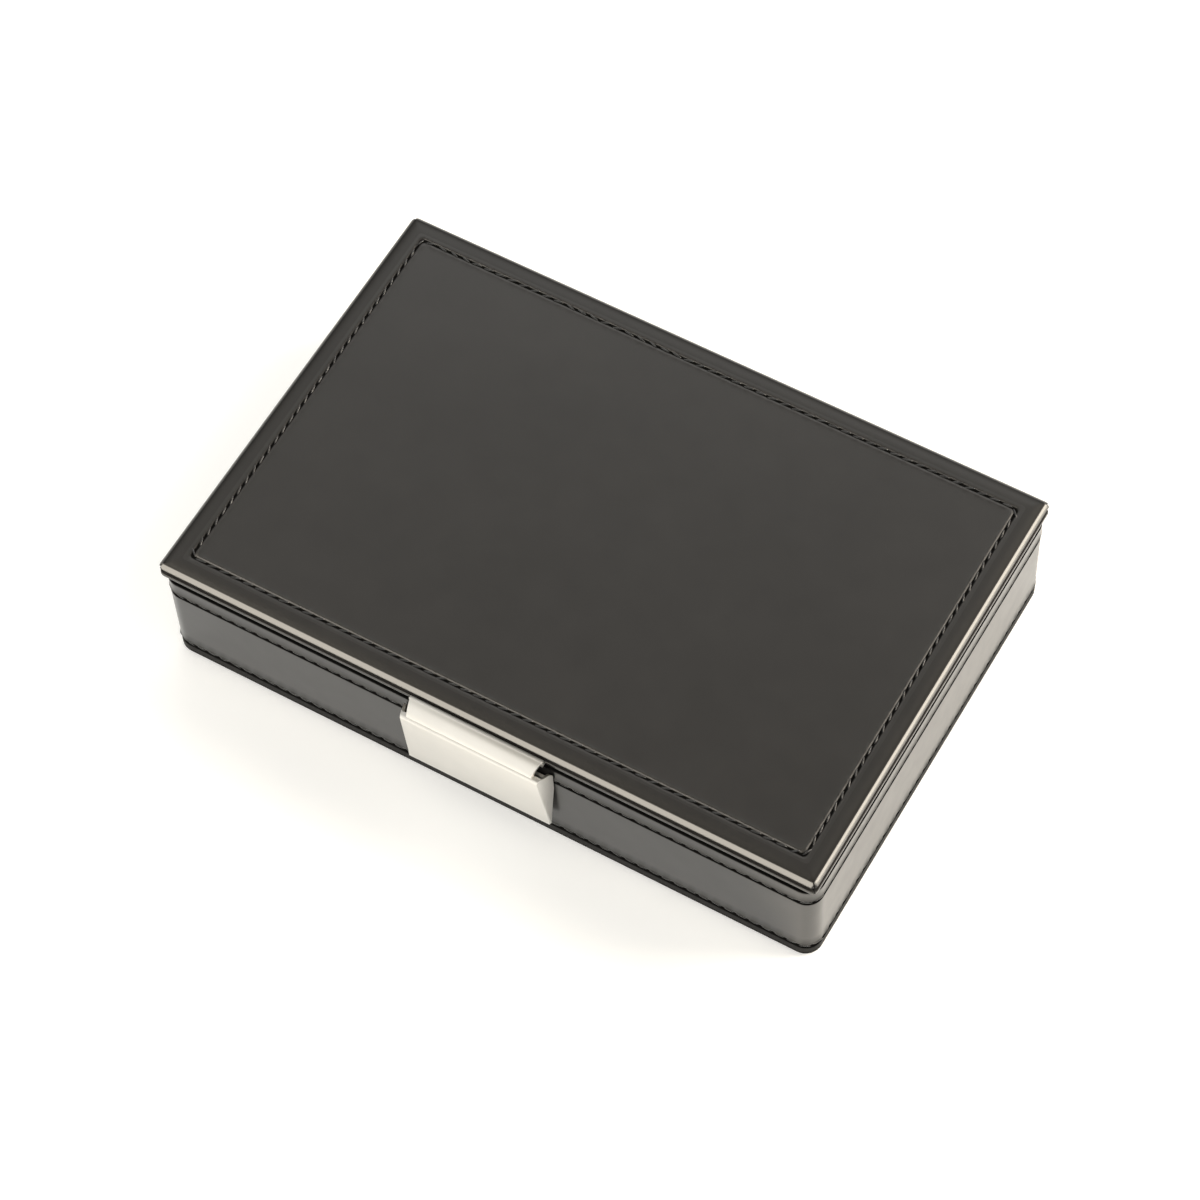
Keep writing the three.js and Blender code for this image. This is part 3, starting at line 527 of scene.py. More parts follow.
base_lines = ((LOWER_LINE, LOWER_TUG), (UPPER_LINE, UPPER_TUG))
base_spans = [round(2 * (half - BASE_CORNER) / COLUMN) for half in (half_x, half_y)]
base_outline = rounded_ring(half_x, half_y, BASE_CORNER, *base_spans)
base_along, base_length = lengths_along(base_outline)
base_stitches = round(base_length / STITCH_PITCH)


def base_painted_shade(inset, z):
    """How much shade is painted on the base's skin on a row, and how dulled its coat is, from 0 to 1."""
    # Painted black shade along the sewn lines.
    if any(SHADE_BELOW_LINE < z - line < SHADE_ABOVE_LINE for line, _ in base_lines):
        return 1.0
    # Painted black shade in the step under the rim.
    if inset <= RECESS and ledge - STEP_SLACK < z < base_rim - SKIN / 2:
        return 1.0
    # Painted shade along the foot and under the floor, a quarter lighter as it rises.
    if z < LOWER_LINE:
        return 1.0 - FOOT_SHADE_FADE * min(max(z - FOOT_SHADE_FROM, 0), 1)
    # Half-strength painted shade over the rim and down inside; none elsewhere.
    return TURNED_SHADE if z > ledge and inset > RECESS else 0.0


rings, stretches, painted_shades = [], [], []
for inset, z in rows:
    corner = max(BASE_CORNER - inset, SHARPEST_CORNER)
    ring = rounded_ring(half_x - inset, half_y - inset, corner, *base_spans)
    points = []
    for (point, out), along in zip(ring, base_along):
        turns = along / base_length * base_stitches
        depth = 0 if inset else sum(groove(z - line, turns, BASE_GROOVE, BASE_LIP, BASE_GROOVE_WIDTH, tug)
                                    for line, tug in base_lines)
        points.append((point.x - out.x * depth, point.y - out.y * depth, z))
    rings.append(points)
    stretches.append([1.0 if 0 != inset < BASE_FOOT else 0.0] * len(ring))
    painted_shades.append([base_painted_shade(inset, z)] * len(ring))
base_skin = shell_from("base_leatherette", rings, True, stretches, painted_shades)
cut_prisms(base_skin, hinge_windows(base_rim - SKIN - FIT, hinge_z - knuckle_clear, base_rim + OVERRUN))
finish_piece(smooth(base_skin), "base", "leatherette", leatherette, ["base_cover"])
print("stitches round the base:", base_stitches, "pitch", round(base_length / base_stitches, 2))

# %% [markdown]
# The lid's skin is a shallow tray turned upside down, folded in under the lid board. One sewn
# line runs round its top, 6.1 mm in from the edge, with shade painted black along it. Outside that
# line the skin falls towards the edge, with painted shade and a duller coat up to the stretched
# and shinier edge itself, as the photograph shows. Below the rounded edge a crease parts the
# padded top from the band round the lid; shade is painted black in the crease and at half
# strength lower down. Its corners are folded like a parcel's, which leaves a short pleat down
# each corner, painted black as shade. Shade is also painted under the lid's edge.

# %% Lid rows
LINE_INSET, LINE_CORNER, CAP_INSET, MOUTH_INSET = 6.1, 1.2, 16.0, 8.1
LID_CORNER, LID_EDGE, LID_LOWER = 1.6, 1.95, 0.35
TOP_ROWS, LOWER_ROW, UNDER_ROWS = (CAP_INSET, 12, 9.4, 8.4), 0.55, (0.8, 1.4, MOUTH_INSET)
MARGIN_FALL, MARGIN_START, MARGIN_SHARES = 0.28, 4.9, (0.15, 0.3, 0.45, 0.6, 0.75, 0.9)
EDGE_START, EDGE_END = 100, 152
CREASE, CREASE_HEIGHT, CREASE_LIP, CREASE_EASE = 0.7, 2.0, 0.06, 0.15
CREASE_ROWS = ((CREASE_LIP, 0), (0.14, 0.01), (CREASE, 0.05), (CREASE, 0.9), (CREASE, CREASE_HEIGHT))

lid_spans = [round(2 * (half - LINE_INSET - LINE_CORNER) / COLUMN) for half in (lid_half_x, lid_half_y)]
rows = [(inset, lid_top) for inset in TOP_ROWS]
rows += [(LINE_INSET - row, lid_top) for row in GROOVE_ROWS]
edge_centre = (-LID_EDGE * math.cos(math.radians(EDGE_END)),
               lid_top - MARGIN_FALL - LID_EDGE * math.sin(math.radians(EDGE_START)))
edge = bend(edge_centre, LID_EDGE, EDGE_START, EDGE_END, 12)
rows += [(MARGIN_START + (edge[0][0] - MARGIN_START) * t, lid_top - MARGIN_FALL * t ** 3)
         for t in MARGIN_SHARES]
rows += edge
crease = edge[-1][1] - CREASE_LIP
band = crease - CREASE_HEIGHT
rows += [(inset, crease - drop) for inset, drop in CREASE_ROWS]
rows += [(CREASE_EASE + RECESS_FLAT, band)]
rows += bend((CREASE_EASE, band - CREASE_EASE), CREASE_EASE, 90, 180, 4)
rows += [(0, lid_under + LOWER_ROW)]
rows += bend((LID_LOWER, lid_under + LID_LOWER), LID_LOWER, 180, 270, 4)
rows += [(inset, lid_under) for inset in UNDER_ROWS]
rows += [(MOUTH_INSET, lid_under + SKIN), (SKIN, lid_under + SKIN)]
rows += [(SKIN, lid_top - SKIN), (CAP_INSET, lid_top - SKIN)]
print("rows of the lid:", len(rows))

# %% Lid skin
LID_GROOVE, LID_LIP, LID_GROOVE_WIDTH = 0.3, 0.03, 0.38
PLEAT, PLEAT_REACH = 0.35, 1.2
# Painted shade on the margin outside the sewn line: its start, its gain as the skin falls, its most, and
# where it ends.
MARGIN_SHADE, MARGIN_SHADE_GAIN, MARGIN_SHADE_MOST, MARGIN_SHADE_END = 0.3, 0.5, 0.8, 1.3
# Painted shade: its half width along the sewn line and its full depth in the crease.
LINE_SHADE_HALF_WIDTH, CREASE_FULL_SHADE, CREASE_SLACK, LEAST_INSET = 0.5, 1.0, 0.12, 0.005
CLASP_REACH = 6.7


def lid_ring(inset):
    """A ring of the lid. Its corners sharpen over the rounded edge and open again inwards."""
    radius = max(LID_CORNER - inset, SHARPEST_CORNER)
    if inset > LID_CORNER:
        opened = min((inset - LID_CORNER) / (LINE_INSET - LID_CORNER), 1)
        radius += (LINE_CORNER - SHARPEST_CORNER) * opened
    return rounded_ring(lid_half_x - inset, lid_half_y - inset, radius, *lid_spans)


def lid_painted_shade(inset, z):
    """How much shade is painted on the lid's skin on a row, and how dulled its coat is, from 0 to 1."""
    fallen = (lid_top - z) / MARGIN_FALL
    # Painted shade on the falling margin, growing towards the edge.
    if 0 < fallen < MARGIN_SHADE_END and inset < MARGIN_START:
        return min(MARGIN_SHADE + MARGIN_SHADE_GAIN * fallen, MARGIN_SHADE_MOST)
    # Painted black shade along the sewn line, fading out over a millimetre.
    if z == lid_top:
        beside = abs(inset - LINE_INSET)
        return 1.0 if beside < LINE_SHADE_HALF_WIDTH else max(1.0 - beside, 0.0)
    # Painted shade in the crease under the edge: black in it, half strength lower down.
    if inset > LEAST_INSET and band - CREASE_SLACK <= z <= crease:
        return 0.5 if z < crease - CREASE_FULL_SHADE else 1.0
    # Painted shade under the lid's edge.
    if z <= lid_under:
        return 1.0 if inset < 1 else 0.5
    return 0.0


lid_line = lid_ring(LINE_INSET)
lid_along, lid_length = lengths_along(lid_line)
lid_stitches = round(lid_length / STITCH_PITCH)
pleats, first = set(), 0
for spans in lid_spans * 2:
    pleats.add(first + CORNER_SPANS // 2)
    first += CORNER_SPANS + spans

rings, stretches, painted_shades = [], [], []
for inset, z in rows:
    pleated = pleats if inset < PLEAT_REACH and z > lid_under + LID_LOWER else ()
    points = []
    for i, (point, out) in enumerate(lid_ring(inset)):
        turns = lid_along[i] / lid_length * lid_stitches
        dip = groove(inset - LINE_INSET, turns, LID_GROOVE, LID_LIP, LID_GROOVE_WIDTH)
        pleat = PLEAT if i in pleated else 0
        points.append((point.x - out.x * pleat, point.y - out.y * pleat, z - dip if z == lid_top else z))
    rings.append(points)
    stretches.append([1.0 if crease < z < lid_top else 0.0] * len(points))
    # Painted black shade down the corner pleats.
    painted_shades.append([1.0 if i in pleated else lid_painted_shade(inset, z) for i in range(len(points))])
lid_skin = shell_from("lid_leatherette", rings, False, stretches, painted_shades)

clasp_low, clasp_high = mm_box("clasp_hood")
near, far = -half_y - 2 * OVERRUN, CLASP_REACH - half_y
below, above = lid_under - OVERRUN, lid_under + SKIN + FIT
windows = hinge_windows(above, hinge_z + knuckle_clear, below)
windows.append(prism([(near, below), (far, below), (far, above), (near, above)],
                     clasp_low[0] - FIT, clasp_high[0] + FIT))
cut_prisms(lid_skin, windows)
finish_piece(smooth(lid_skin), "lid", "leatherette", leatherette, ["lid_cover"])
print("stitches round the lid:", lid_stitches, "pitch", round(lid_length / lid_stitches, 2))

# %% [markdown]
# The thread is bonded polyester, dyed nearly black, with a faint shine of its own. Each stitch
# dives into a needle hole at both ends, so it shows as a slim grain of thread that is thick in
# the middle. Geometry Nodes turn a path into a curve, set out as many points along it as there
# are stitches and put one such grain on each, a little turned by chance with a fixed seed.

# %% Thread
FUZZ, FUZZ_STRENGTH, FUZZ_DEPTH = 0.4, 0.9, 0.15

thread, tree, surface = new_material("bonded polyester thread, black")
fuzz = noise(tree, own_space(tree), FUZZ, 2.0)
fill(tree, surface, Base_Color=two_tones(tree, fuzz, linear("0b0b0b"), linear("1d1c1b")), Roughness=0.24,
     Specular_IOR_Level=0.6, Normal=bumped(tree, fuzz, FUZZ_STRENGTH, FUZZ_DEPTH))


# %% Geometry Nodes
def node_group(name, inputs):
    """An empty Geometry Nodes tree with named inputs, and its input and output nodes."""
    tree = bpy.data.node_groups.new(name, "GeometryNodeTree")
    tree.interface.new_socket("Geometry", in_out="INPUT", socket_type="NodeSocketGeometry")
    for label, kind in inputs.items():
        tree.interface.new_socket(label, in_out="INPUT", socket_type="NodeSocket" + kind)
    tree.interface.new_socket("Geometry", in_out="OUTPUT", socket_type="NodeSocketGeometry")
    print("tree:", name, "with inputs", ", ".join(inputs))
    return tree, tree.nodes.new("NodeGroupInput").outputs, tree.nodes.new("NodeGroupOutput").inputs


def given_out(tree, geometry, material, result):
    """Ends a tree: its instances are made real and take their material."""
    plain = add_node(tree, "GeometryNodeRealizeInstances", Geometry=geometry)
    plain = add_node(tree, "GeometryNodeSetMaterial", Geometry=plain.outputs[0], Material=material)
    tree.links.new(plain.outputs[0], result["Geometry"])


def grown(piece, tree, values):
    """Runs a tree on a piece with its inputs set, and leaves the plain mesh."""
    modifier = piece.modifiers.new(tree.name, "NODES")
    modifier.node_group = tree
    for item in tree.interface.items_tree:
        if item.in_out == "INPUT" and item.name in values:
            modifier[item.identifier] = values[item.name]
    return made_plain(piece)


# %% Stitch tree
GRAIN_SIDES, GRAIN_RINGS = 8, 6

stitching, given, result = node_group("stitches along a path", {
    "Stitches": "Int", "Length": "Float", "Thickness": "Float", "Slant": "Vector", "Sway": "Float",
    "Seed": "Int", "Thread": "Material"})
path = add_node(stitching, "GeometryNodeMeshToCurve", Mesh=given["Geometry"])
steps = add_node(stitching, "GeometryNodeResampleCurve", {"mode": "COUNT"},
                 Curve=path.outputs[0], Count=given["Stitches"])
grain = add_node(stitching, "GeometryNodeMeshUVSphere", Segments=GRAIN_SIDES, Rings=GRAIN_RINGS, Radius=0.5)
slim = add_node(stitching, "ShaderNodeCombineXYZ", X=given["Length"], Y=given["Thickness"],
                Z=given["Thickness"])
grain = add_node(stitching, "GeometryNodeTransform", Geometry=grain.outputs[0], Scale=slim.outputs[0])
tangent = add_node(stitching, "GeometryNodeInputTangent")
aim = add_node(stitching, "FunctionNodeAlignRotationToVector", {"axis": "X"}, Vector=tangent.outputs[0])
sown = add_node(stitching, "GeometryNodeInstanceOnPoints", Points=steps.outputs[0],
                Instance=grain.outputs[0], Rotation=aim.outputs[0])
sway = add_node(stitching, "FunctionNodeRandomValue", {"data_type": "FLOAT_VECTOR"},
                Min=maths(stitching, "MULTIPLY", given["Sway"], -1.0), Max=given["Sway"], Seed=given["Seed"])
lean = add_node(stitching, "ShaderNodeVectorMath", {"operation": "ADD"},
                i0=sway.outputs[0], i1=given["Slant"])
sown = add_node(stitching, "GeometryNodeRotateInstances", Instances=sown.outputs[0],
                Rotation=lean.outputs[0])
plain = add_node(stitching, "GeometryNodeRealizeInstances", Geometry=sown.outputs[0])
plain = add_node(stitching, "GeometryNodeSetShadeSmooth", Geometry=plain.outputs[0])
plain = add_node(stitching, "GeometryNodeSetMaterial", Geometry=plain.outputs[0],
                 Material=given["Thread"])
stitching.links.new(plain.outputs[0], result["Geometry"])

# %% Sewn lines
STITCH_LENGTH, STITCH_THICKNESS, BASE_SUNK, LID_SUNK = 3.1, 0.6, 0.28, 0.12


def sewn(name, body, lines, count, slant, sway, seed):
    """A mesh of stitches along closed lines of points in mm, leaning by angles in degrees."""
    points, edges = [], []
    for line in lines:
        first, total = len(points), len(line)
        points += line
        edges += [(first + i, first + (i + 1) % total) for i in range(total)]
    piece = placed(name, mesh_of(name, points, edges))
    grown(piece, stitching, {"Stitches": count, "Length": STITCH_LENGTH * MM,
                             "Thickness": STITCH_THICKNESS * MM, "Slant": (0, 0, math.radians(slant)),
                             "Sway": math.radians(sway), "Seed": seed, "Thread": thread})
    finish_piece(piece, body, "leatherette")


sewn("base_stitches", "base",
     [[(p.x - out.x * BASE_SUNK, p.y - out.y * BASE_SUNK, z) for p, out in base_outline]
      for z in (LOWER_LINE, UPPER_LINE)],
     base_stitches, slant=0, sway=4, seed=3)
sewn("lid_stitches", "lid", [[(p.x, p.y, lid_top - LID_SUNK) for p, _ in lid_line]],
     lid_stitches, slant=14, sway=7, seed=7)

# %% [markdown]
# The clasp is pressed from brass sheet and plated with satin nickel: matt enough to hide
# fingerprints, warm white beside chrome, with edges rounded by the press and the polishing drum.
# Its shape is right in the model, but the model's edges are knife-sharp and catch no light. A
# copy is merged, its flat faces are joined, and a Bevel modifier rounds the edges. Fine brushing
# is a noise drawn out along the box, about 0.15 mm across the strokes, so only its blur shows.

# %% Nickel and steel
TARNISH, TARNISHED_SHARE = 9, 0.94
STROKE_SHARE, STROKE_STRENGTH, STROKE_DEPTH = 0.5, 0.05, 0.02
ROUGH_SPREAD = 0.05


def metal(name, colour, roughness, stroke_mm, run_mm):
    """A satin metal with fine strokes along X."""
    material, tree, surface = new_material(name)
    where = own_space(tree)
    drawn = add_node(tree, "ShaderNodeMapping", Vector=where, Scale=(stroke_mm / run_mm, 1, 1))
    strokes = noise(tree, drawn.outputs[0], stroke_mm, 2.0)
    cloudy = noise(tree, where, TARNISH, 2.0)
    blend = maths(tree, "MULTIPLY_ADD", strokes, STROKE_SHARE, cloudy)
    rough = ranged(tree, blend, roughness - ROUGH_SPREAD, roughness + ROUGH_SPREAD, stop=1 + STROKE_SHARE)
    tarnished = [v * TARNISHED_SHARE for v in linear(colour)[:3]] + [1]
    fill(tree, surface, Metallic=1, Base_Color=two_tones(tree, cloudy, linear(colour), tarnished),
         Roughness=rough, Normal=bumped(tree, strokes, STROKE_STRENGTH, STROKE_DEPTH))
    return material


satin_nickel = metal("satin nickel plate on brass sheet", "e4e2dd", roughness=0.42, stroke_mm=0.15, run_mm=6)
bright_steel = metal("nickel-plated steel, barrelled", "c9c6bf", roughness=0.34, stroke_mm=0.1, run_mm=0.1)

# %% Pieces with eased edges
MERGED, FLAT_ANGLE, EDGE_ANGLE = 0.001, 3, 35


def eased_copy(name, node, radius_mm, segments=3):
    """A CAD node's mesh, merged, with its sharp edges rounded."""
    draft = bmesh.new()
    draft.from_mesh(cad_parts[node].data)
    bmesh.ops.remove_doubles(draft, verts=draft.verts, dist=MERGED * MM)
    bmesh.ops.dissolve_limit(draft, angle_limit=math.radians(FLAT_ANGLE), verts=draft.verts,
                             edges=draft.edges)
    shape = bpy.data.meshes.new(name)
    draft.to_mesh(shape)
    draft.free()
    piece = placed(name, shape)
    bevel = piece.modifiers.new("rounded edges", "BEVEL")
    bevel.width = radius_mm * MM
    bevel.segments = segments
    bevel.limit_method = "ANGLE"
    bevel.angle_limit = math.radians(EDGE_ANGLE)
    return smooth(made_plain(piece), angle=30)


for name, node, body, radius in (
        ("clasp_hood_plated", "clasp_hood", "lid", 0.22),
        ("latch_plate_plated", "latch_plate", "latch", 0.3),
        ("clasp_bracket_plated", "clasp_bracket", "base", 0.12),
        ("left_base_leaf_plated", "left_base_leaf", "base", 0.12),
        ("right_base_leaf_plated", "right_base_leaf", "base", 0.12),
        ("left_lid_leaf_plated", "left_lid_leaf", "lid", 0.12),
        ("right_lid_leaf_plated", "right_lid_leaf", "lid", 0.12)):
    finish_piece(eased_copy(name, node, radius), body, "nickel", satin_nickel, [node])
for name, node, body, radius in (
        ("striker_strip", "striker", "lid", 0.12),
        ("left_hinge_pin_turned", "left_hinge_pin", "base", 0.1),
        ("right_hinge_pin_turned", "right_hinge_pin", "base", 0.1),
        ("latch_pin_turned", "latch_pin", "base", 0.1),
        ("left_rivet_headed", "bracket_rivet_left", "base", 0.08),
        ("right_rivet_headed", "bracket_rivet_right", "base", 0.08)):
    finish_piece(eased_copy(name, node, radius, segments=2), body, "steel", bright_steel, [node])

# %% [markdown]
# The hinges and the clasp are held by eleven small countersunk screws. They are all alike, so one
# is turned once and set out by Geometry Nodes on the points where the model has them: four look
# up from the base's rim and seven look down from the lid. Only the turn differs.

# %% Screws
SCREW_SIDES = 20
SCREW_TIP = ((0, 0), (0.2, 0.1), (0.5, 0.55))
SCREW_HEAD = ((0.45, -0.8), (0.5, -0.65), (1.2, -0.08), (1.25, -0.03), (1.22, 0), (0, 0))
THREAD_ROOT, THREAD_CREST, THREAD_PITCH, THREAD_START, PLAIN_LENGTH = 0.42, 0.55, 0.5, 0.6, 1.6
SLOT_HALF, SLOT_DEPTH, SLOT_OVERRUN, SLOT_REACH = 0.17, 0.25, 0.5, 2


def turned_screw(length_mm):
    """One screw: its head faces up at zero, with a slot across it."""
    profile = [(r, -length_mm + z) for r, z in SCREW_TIP]
    for i in range(int((length_mm - PLAIN_LENGTH) / THREAD_PITCH)):
        z = -length_mm + THREAD_START + THREAD_PITCH * i
        profile += [(THREAD_ROOT, z), (THREAD_CREST, z + THREAD_PITCH / 2)]
    profile += SCREW_HEAD
    points = [(0, 0, profile[0][1])]
    for r, z in profile[1:-1]:
        angles = [2 * math.pi * k / SCREW_SIDES for k in range(SCREW_SIDES)]
        points += [(r * math.cos(a), r * math.sin(a), z) for a in angles]
    points.append((0, 0, 0))
    levels, last = len(profile) - 2, len(points) - 1
    top = 1 + (levels - 1) * SCREW_SIDES
    faces = []
    for k in range(SCREW_SIDES):
        j = (k + 1) % SCREW_SIDES
        faces.append((0, 1 + j, 1 + k))
        for level in range(levels - 1):
            a, b = 1 + level * SCREW_SIDES, 1 + (level + 1) * SCREW_SIDES
            faces.append((a + k, a + j, b + j, b + k))
        faces.append((top + k, top + j, last))
    screw = placed("screw", mesh_of("screw", points, faces=faces))
    slot = [(-SLOT_HALF, -SLOT_DEPTH), (SLOT_HALF, -SLOT_DEPTH), (SLOT_HALF, SLOT_OVERRUN),
            (-SLOT_HALF, SLOT_OVERRUN)]
    cut_prisms(screw, [prism(slot, -SLOT_REACH, SLOT_REACH)])
    return screw


# %% Setting out
setting_out, given, result = node_group("one piece at every point", {
    "Piece": "Object", "Tilt": "Vector", "Sway": "Float", "Seed": "Int", "Finish": "Material"})
one = add_node(setting_out, "GeometryNodeObjectInfo", Object=given["Piece"])
back = maths(setting_out, "MULTIPLY", given["Sway"], -1.0)
least = add_node(setting_out, "ShaderNodeCombineXYZ", Z=back)
most = add_node(setting_out, "ShaderNodeCombineXYZ", Z=given["Sway"])
sway = add_node(setting_out, "FunctionNodeRandomValue", {"data_type": "FLOAT_VECTOR"},
                Min=least.outputs[0], Max=most.outputs[0], Seed=given["Seed"])
tilt = add_node(setting_out, "FunctionNodeEulerToRotation", Euler=given["Tilt"])
sown = add_node(setting_out, "GeometryNodeInstanceOnPoints", Points=given["Geometry"],
                Instance=one.outputs["Geometry"], Rotation=tilt.outputs[0])
sown = add_node(setting_out, "GeometryNodeRotateInstances", Instances=sown.outputs[0],
                Rotation=sway.outputs[0])
given_out(setting_out, sown.outputs[0], given["Finish"], result)


def set_out(name, body, nodes, tilt, seed):
    """Screws at the heads of CAD screws, which they replace."""
    boxes = [mm_box(node) for node in nodes]
    heads = [(middle_of(node, 0), middle_of(node, 1), low[2] if tilt else high[2])
             for node, (low, high) in zip(nodes, boxes)]
    screw = turned_screw(boxes[0][1][2] - boxes[0][0][2])
    piece = placed(name, mesh_of(name, heads))
    grown(piece, setting_out, {"Piece": screw, "Tilt": (tilt, 0, 0), "Sway": math.pi, "Seed": seed,
                               "Finish": bright_steel})
    bpy.data.objects.remove(screw)
    finish_piece(smooth(piece, angle=30), body, "steel", None, nodes)


hinge_ends = [(side, end) for side in ("left", "right") for end in ("outer", "inner")]
set_out("base_screws", "base", [side + "_base_screw_" + end for side, end in hinge_ends], tilt=0, seed=11)
set_out("lid_screws", "lid",
        [side + "_lid_screw_" + end for side, end in hinge_ends] +
        ["clasp_screw_" + place for place in ("left", "middle", "right")], tilt=math.pi, seed=12)

# %% [markdown]
# Behind the latch plate a torsion spring of thin music wire is wound round the pin. A spring is a
# line given a thickness, so its path is worked out point by point and Geometry Nodes sweep a
# small circle along it. One leg bears on the plate and the other on the box.

# %% Spring
WIRE, WIRE_SIDES, PITCH, TURNS, LEG, LEAN, TAIL = 0.2, 10, 0.9, 5.5, 4.4, 0.55, 2.7
COIL_STEPS, LEG_SHARES = 20, (0.25, 0.5, 0.75, 1)

pin_low, pin_high = mm_box("latch_pin")
pin_y, pin_z = middle_of("latch_pin", 1), middle_of("latch_pin", 2)
coil_radius = (pin_high[1] - pin_low[1]) / 2 + 2 * WIRE
steps = round(COIL_STEPS * TURNS)
coil = []
for i in range(steps + 1):
    angle = 2 * math.pi * i / COIL_STEPS
    coil.append((PITCH * TURNS * (i / steps - 0.5), pin_y - coil_radius * math.cos(angle),
                 pin_z + coil_radius * math.sin(angle)))
x, y, z = coil[0]
first_leg = [(x, y + LEAN * t, z - LEG * t) for t in reversed(LEG_SHARES)]
x, y, z = coil[-1]
last_leg = [(x, y, z - TAIL * t) for t in LEG_SHARES]

sweeping, given, result = node_group("wire along a path", {
    "Radius": "Float", "Sides": "Int", "Finish": "Material"})
path = add_node(sweeping, "GeometryNodeMeshToCurve", Mesh=given["Geometry"])
ring = add_node(sweeping, "GeometryNodeCurvePrimitiveCircle", Resolution=given["Sides"],
                Radius=given["Radius"])
wire = add_node(sweeping, "GeometryNodeCurveToMesh", Curve=path.outputs[0], Profile_Curve=ring.outputs[0],
                Fill_Caps=True)
given_out(sweeping, wire.outputs[0], given["Finish"], result)

line = first_leg + coil + last_leg
joins = [(i, i + 1) for i in range(len(line) - 1)]
spring = placed("latch_spring_wire", mesh_of("latch_spring_wire", line, joins))
grown(spring, sweeping, {"Radius": WIRE * MM, "Sides": WIRE_SIDES, "Finish": bright_steel})
finish_piece(smooth(spring, angle=50), "latch", "steel", None, ["latch_spring"])

# %% [markdown]
# The inside is velvet: a short upright pile on a woven back, glued over card and thin foam. Looked
# at along the pile it goes deep and dark, and at a slant its tips catch light, which the sheen
# gives. Brushed patches lean one way or the other and differ in tone. The pile is a noise of
# 0.25 mm. The lid's panel and the floor are softly stuffed, so they crown and pull in at edges.

# %% Velvet and felt
FIBRE_SHARE, NAP_START, NAP_STOP = 0.6, 0.5, 1.1


def cloth(name, dark, light, patch_mm, fibre_mm, sheen, bump):
    """A napped cloth: brushed patches, a fibre bump and a sheen."""
    material, tree, surface = new_material(name)
    where = own_space(tree)
    patches = noise(tree, where, patch_mm, 3.0, Distortion=0.6)
    fibres = noise(tree, where, fibre_mm, 3.0)
    mixed = maths(tree, "MULTIPLY_ADD", fibres, FIBRE_SHARE, patches)
    level = ranged(tree, mixed, 0.0, 1.0, NAP_START, NAP_STOP)
    fill(tree, surface, Base_Color=two_tones(tree, level, linear(dark), linear(light)), Roughness=1,
         Specular_IOR_Level=0.2, Sheen_Weight=sheen, Sheen_Roughness=0.35,
         Normal=bumped(tree, fibres, bump, fibre_mm))
    return material


velvet = cloth("cotton velvet, short pile, charcoal", "1a191b", "353337",
               patch_mm=26, fibre_mm=0.25, sheen=0.6, bump=0.5)
felt = cloth("pressed wool felt, black", "141415", "262627", patch_mm=12, fibre_mm=0.4, sheen=0.25, bump=0.7)

# %% Fibreboard
BOARD_FIBRE, BOARD_STRENGTH, BOARD_DEPTH = 0.8, 0.4, 0.1

board, tree, surface = new_material("raw fibreboard, pressed")
fibre = noise(tree, own_space(tree), BOARD_FIBRE, 5.0, Distortion=1.5)
fill(tree, surface, Base_Color=two_tones(tree, fibre, linear("8a6f4c"), linear("b2946b")), Roughness=0.85,
     Normal=bumped(tree, fibre, BOARD_STRENGTH, BOARD_DEPTH))
for node in ("floor_board", "front_wall", "back_wall", "left_wall", "right_wall", "lid_board"):
    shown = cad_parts[node]
    shown.data.materials.clear()
    shown.data.materials.append(board)

# %% Padded sheets
SEAM_SHARES = (0, 0.015, 0.04, 0.09, 0.17, 0.28, 0.4, 0.5, 0.6, 0.72, 0.83, 0.91, 0.96, 0.985)
CROWN_POWER = 0.35


def cell_lines(low, high, cuts):
    """Grid lines across a pad: where each lies, and its share of the way across its own cell."""
    stops = [low, *cuts, high]
    lines = [(start + (stop - start) * t, t) for start, stop in zip(stops, stops[1:]) for t in SEAM_SHARES]
    return lines + [(high, 0)]


def drawn_in(x, y, middle, half, back, corner):
    """A plan point drawn back from the pad's edges, and round its corners along a circle."""
    dx, dy = abs(x - middle[0]) - (half[0] - corner), abs(y - middle[1]) - (half[1] - corner)
    if corner and dx > 0 and dy > 0:
        limit = max(dx, dy) / math.hypot(dx, dy)
        x = middle[0] + math.copysign(half[0] - corner + dx * limit, x - middle[0])
        y = middle[1] + math.copysign(half[1] - corner + dy * limit, y - middle[1])
    return x - back * (x - middle[0]) / half[0], y - back * (y - middle[1]) / half[1]


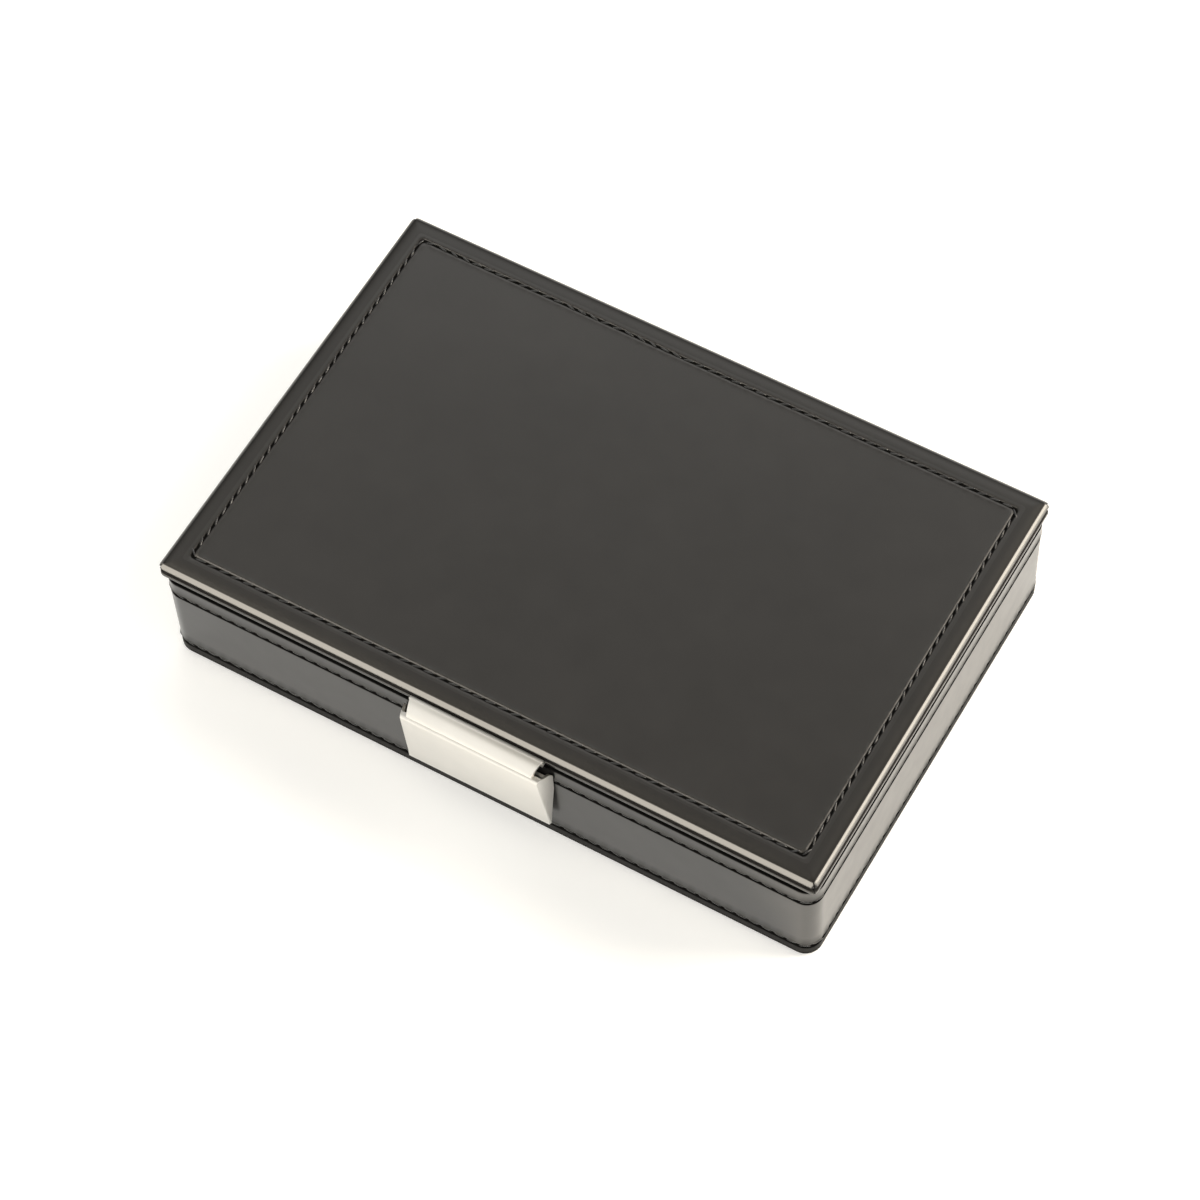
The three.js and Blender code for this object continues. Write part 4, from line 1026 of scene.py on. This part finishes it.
def crowned_pad(name, node, body, cells_x, cells_y, crown, edge, corner=0.0):
    """A pad in a CAD node's box. Its soft face crowns by cell and falls towards every seam."""
    low, high = mm_box(node)
    soft, hard, way = (high[2], low[2], 1) if body == "base" else (low[2], high[2], -1)
    middle = (middle_of(node, 0), middle_of(node, 1))
    half = (high[0] - middle[0], high[1] - middle[1])
    lines_x, lines_y = cell_lines(low[0], high[0], cells_x), cell_lines(low[1], high[1], cells_y)
    columns, lines = len(lines_x), len(lines_y)
    points = []
    for y, v in lines_y:
        for x, u in lines_x:
            swell = (4 * u * (1 - u)) ** CROWN_POWER * (4 * v * (1 - v)) ** CROWN_POWER
            points.append((*drawn_in(x, y, middle, half, 0, corner), soft - way * crown * (1 - swell)))
    faces = [(r * columns + c, r * columns + c + 1, (r + 1) * columns + c + 1, (r + 1) * columns + c)
             for r in range(lines - 1) for c in range(columns - 1)]
    rim = list(range(columns)) + [r * columns + columns - 1 for r in range(1, lines)]
    rim += [(lines - 1) * columns + c for c in range(columns - 2, -1, -1)]
    rim += [r * columns for r in range(lines - 2, 0, -1)]
    start, count = len(points), len(rim)
    for i in rim:
        x, y, z = points[i]
        points.append((x, y, hard))
        points[i] = (*drawn_in(x, y, middle, half, edge, corner), z)
    faces += [(rim[i], start + i, start + (i + 1) % count, rim[(i + 1) % count]) for i in range(count)]
    faces.append(tuple(start + i for i in reversed(range(count))))
    piece = placed(name, faced_out(mesh_of(name, points, faces=faces)))
    finish_piece(smooth(piece, angle=60), body, "velvet", velvet, [node])


column_cuts = [middle_of("cross_divider_%d" % i, 0) for i in (1, 2, 3, 4)]
row_cuts = [middle_of("long_divider_%d" % i, 1) for i in (1, 2)]
crowned_pad("floor_cushion", "floor_pad", "base", column_cuts, row_cuts, crown=0.9, edge=0.2)
crowned_pad("lid_cushion", "lid_panel", "lid", [], [], crown=1.0, edge=0.3, corner=1.0)

# %% Linings, dividers and the underside
for node in ("front_lining", "back_lining", "left_lining", "right_lining", "long_divider_1", "long_divider_2",
             "cross_divider_1", "cross_divider_2", "cross_divider_3", "cross_divider_4"):
    lined = eased_copy(node + "_velvet", node, radius_mm=0.45, segments=4)
    finish_piece(lined, "base", "velvet", velvet, [node])
underside = eased_copy("underside_felt_pressed", "underside_felt", radius_mm=0.15, segments=2)
finish_piece(underside, "base", "felt", felt, ["underside_felt"])
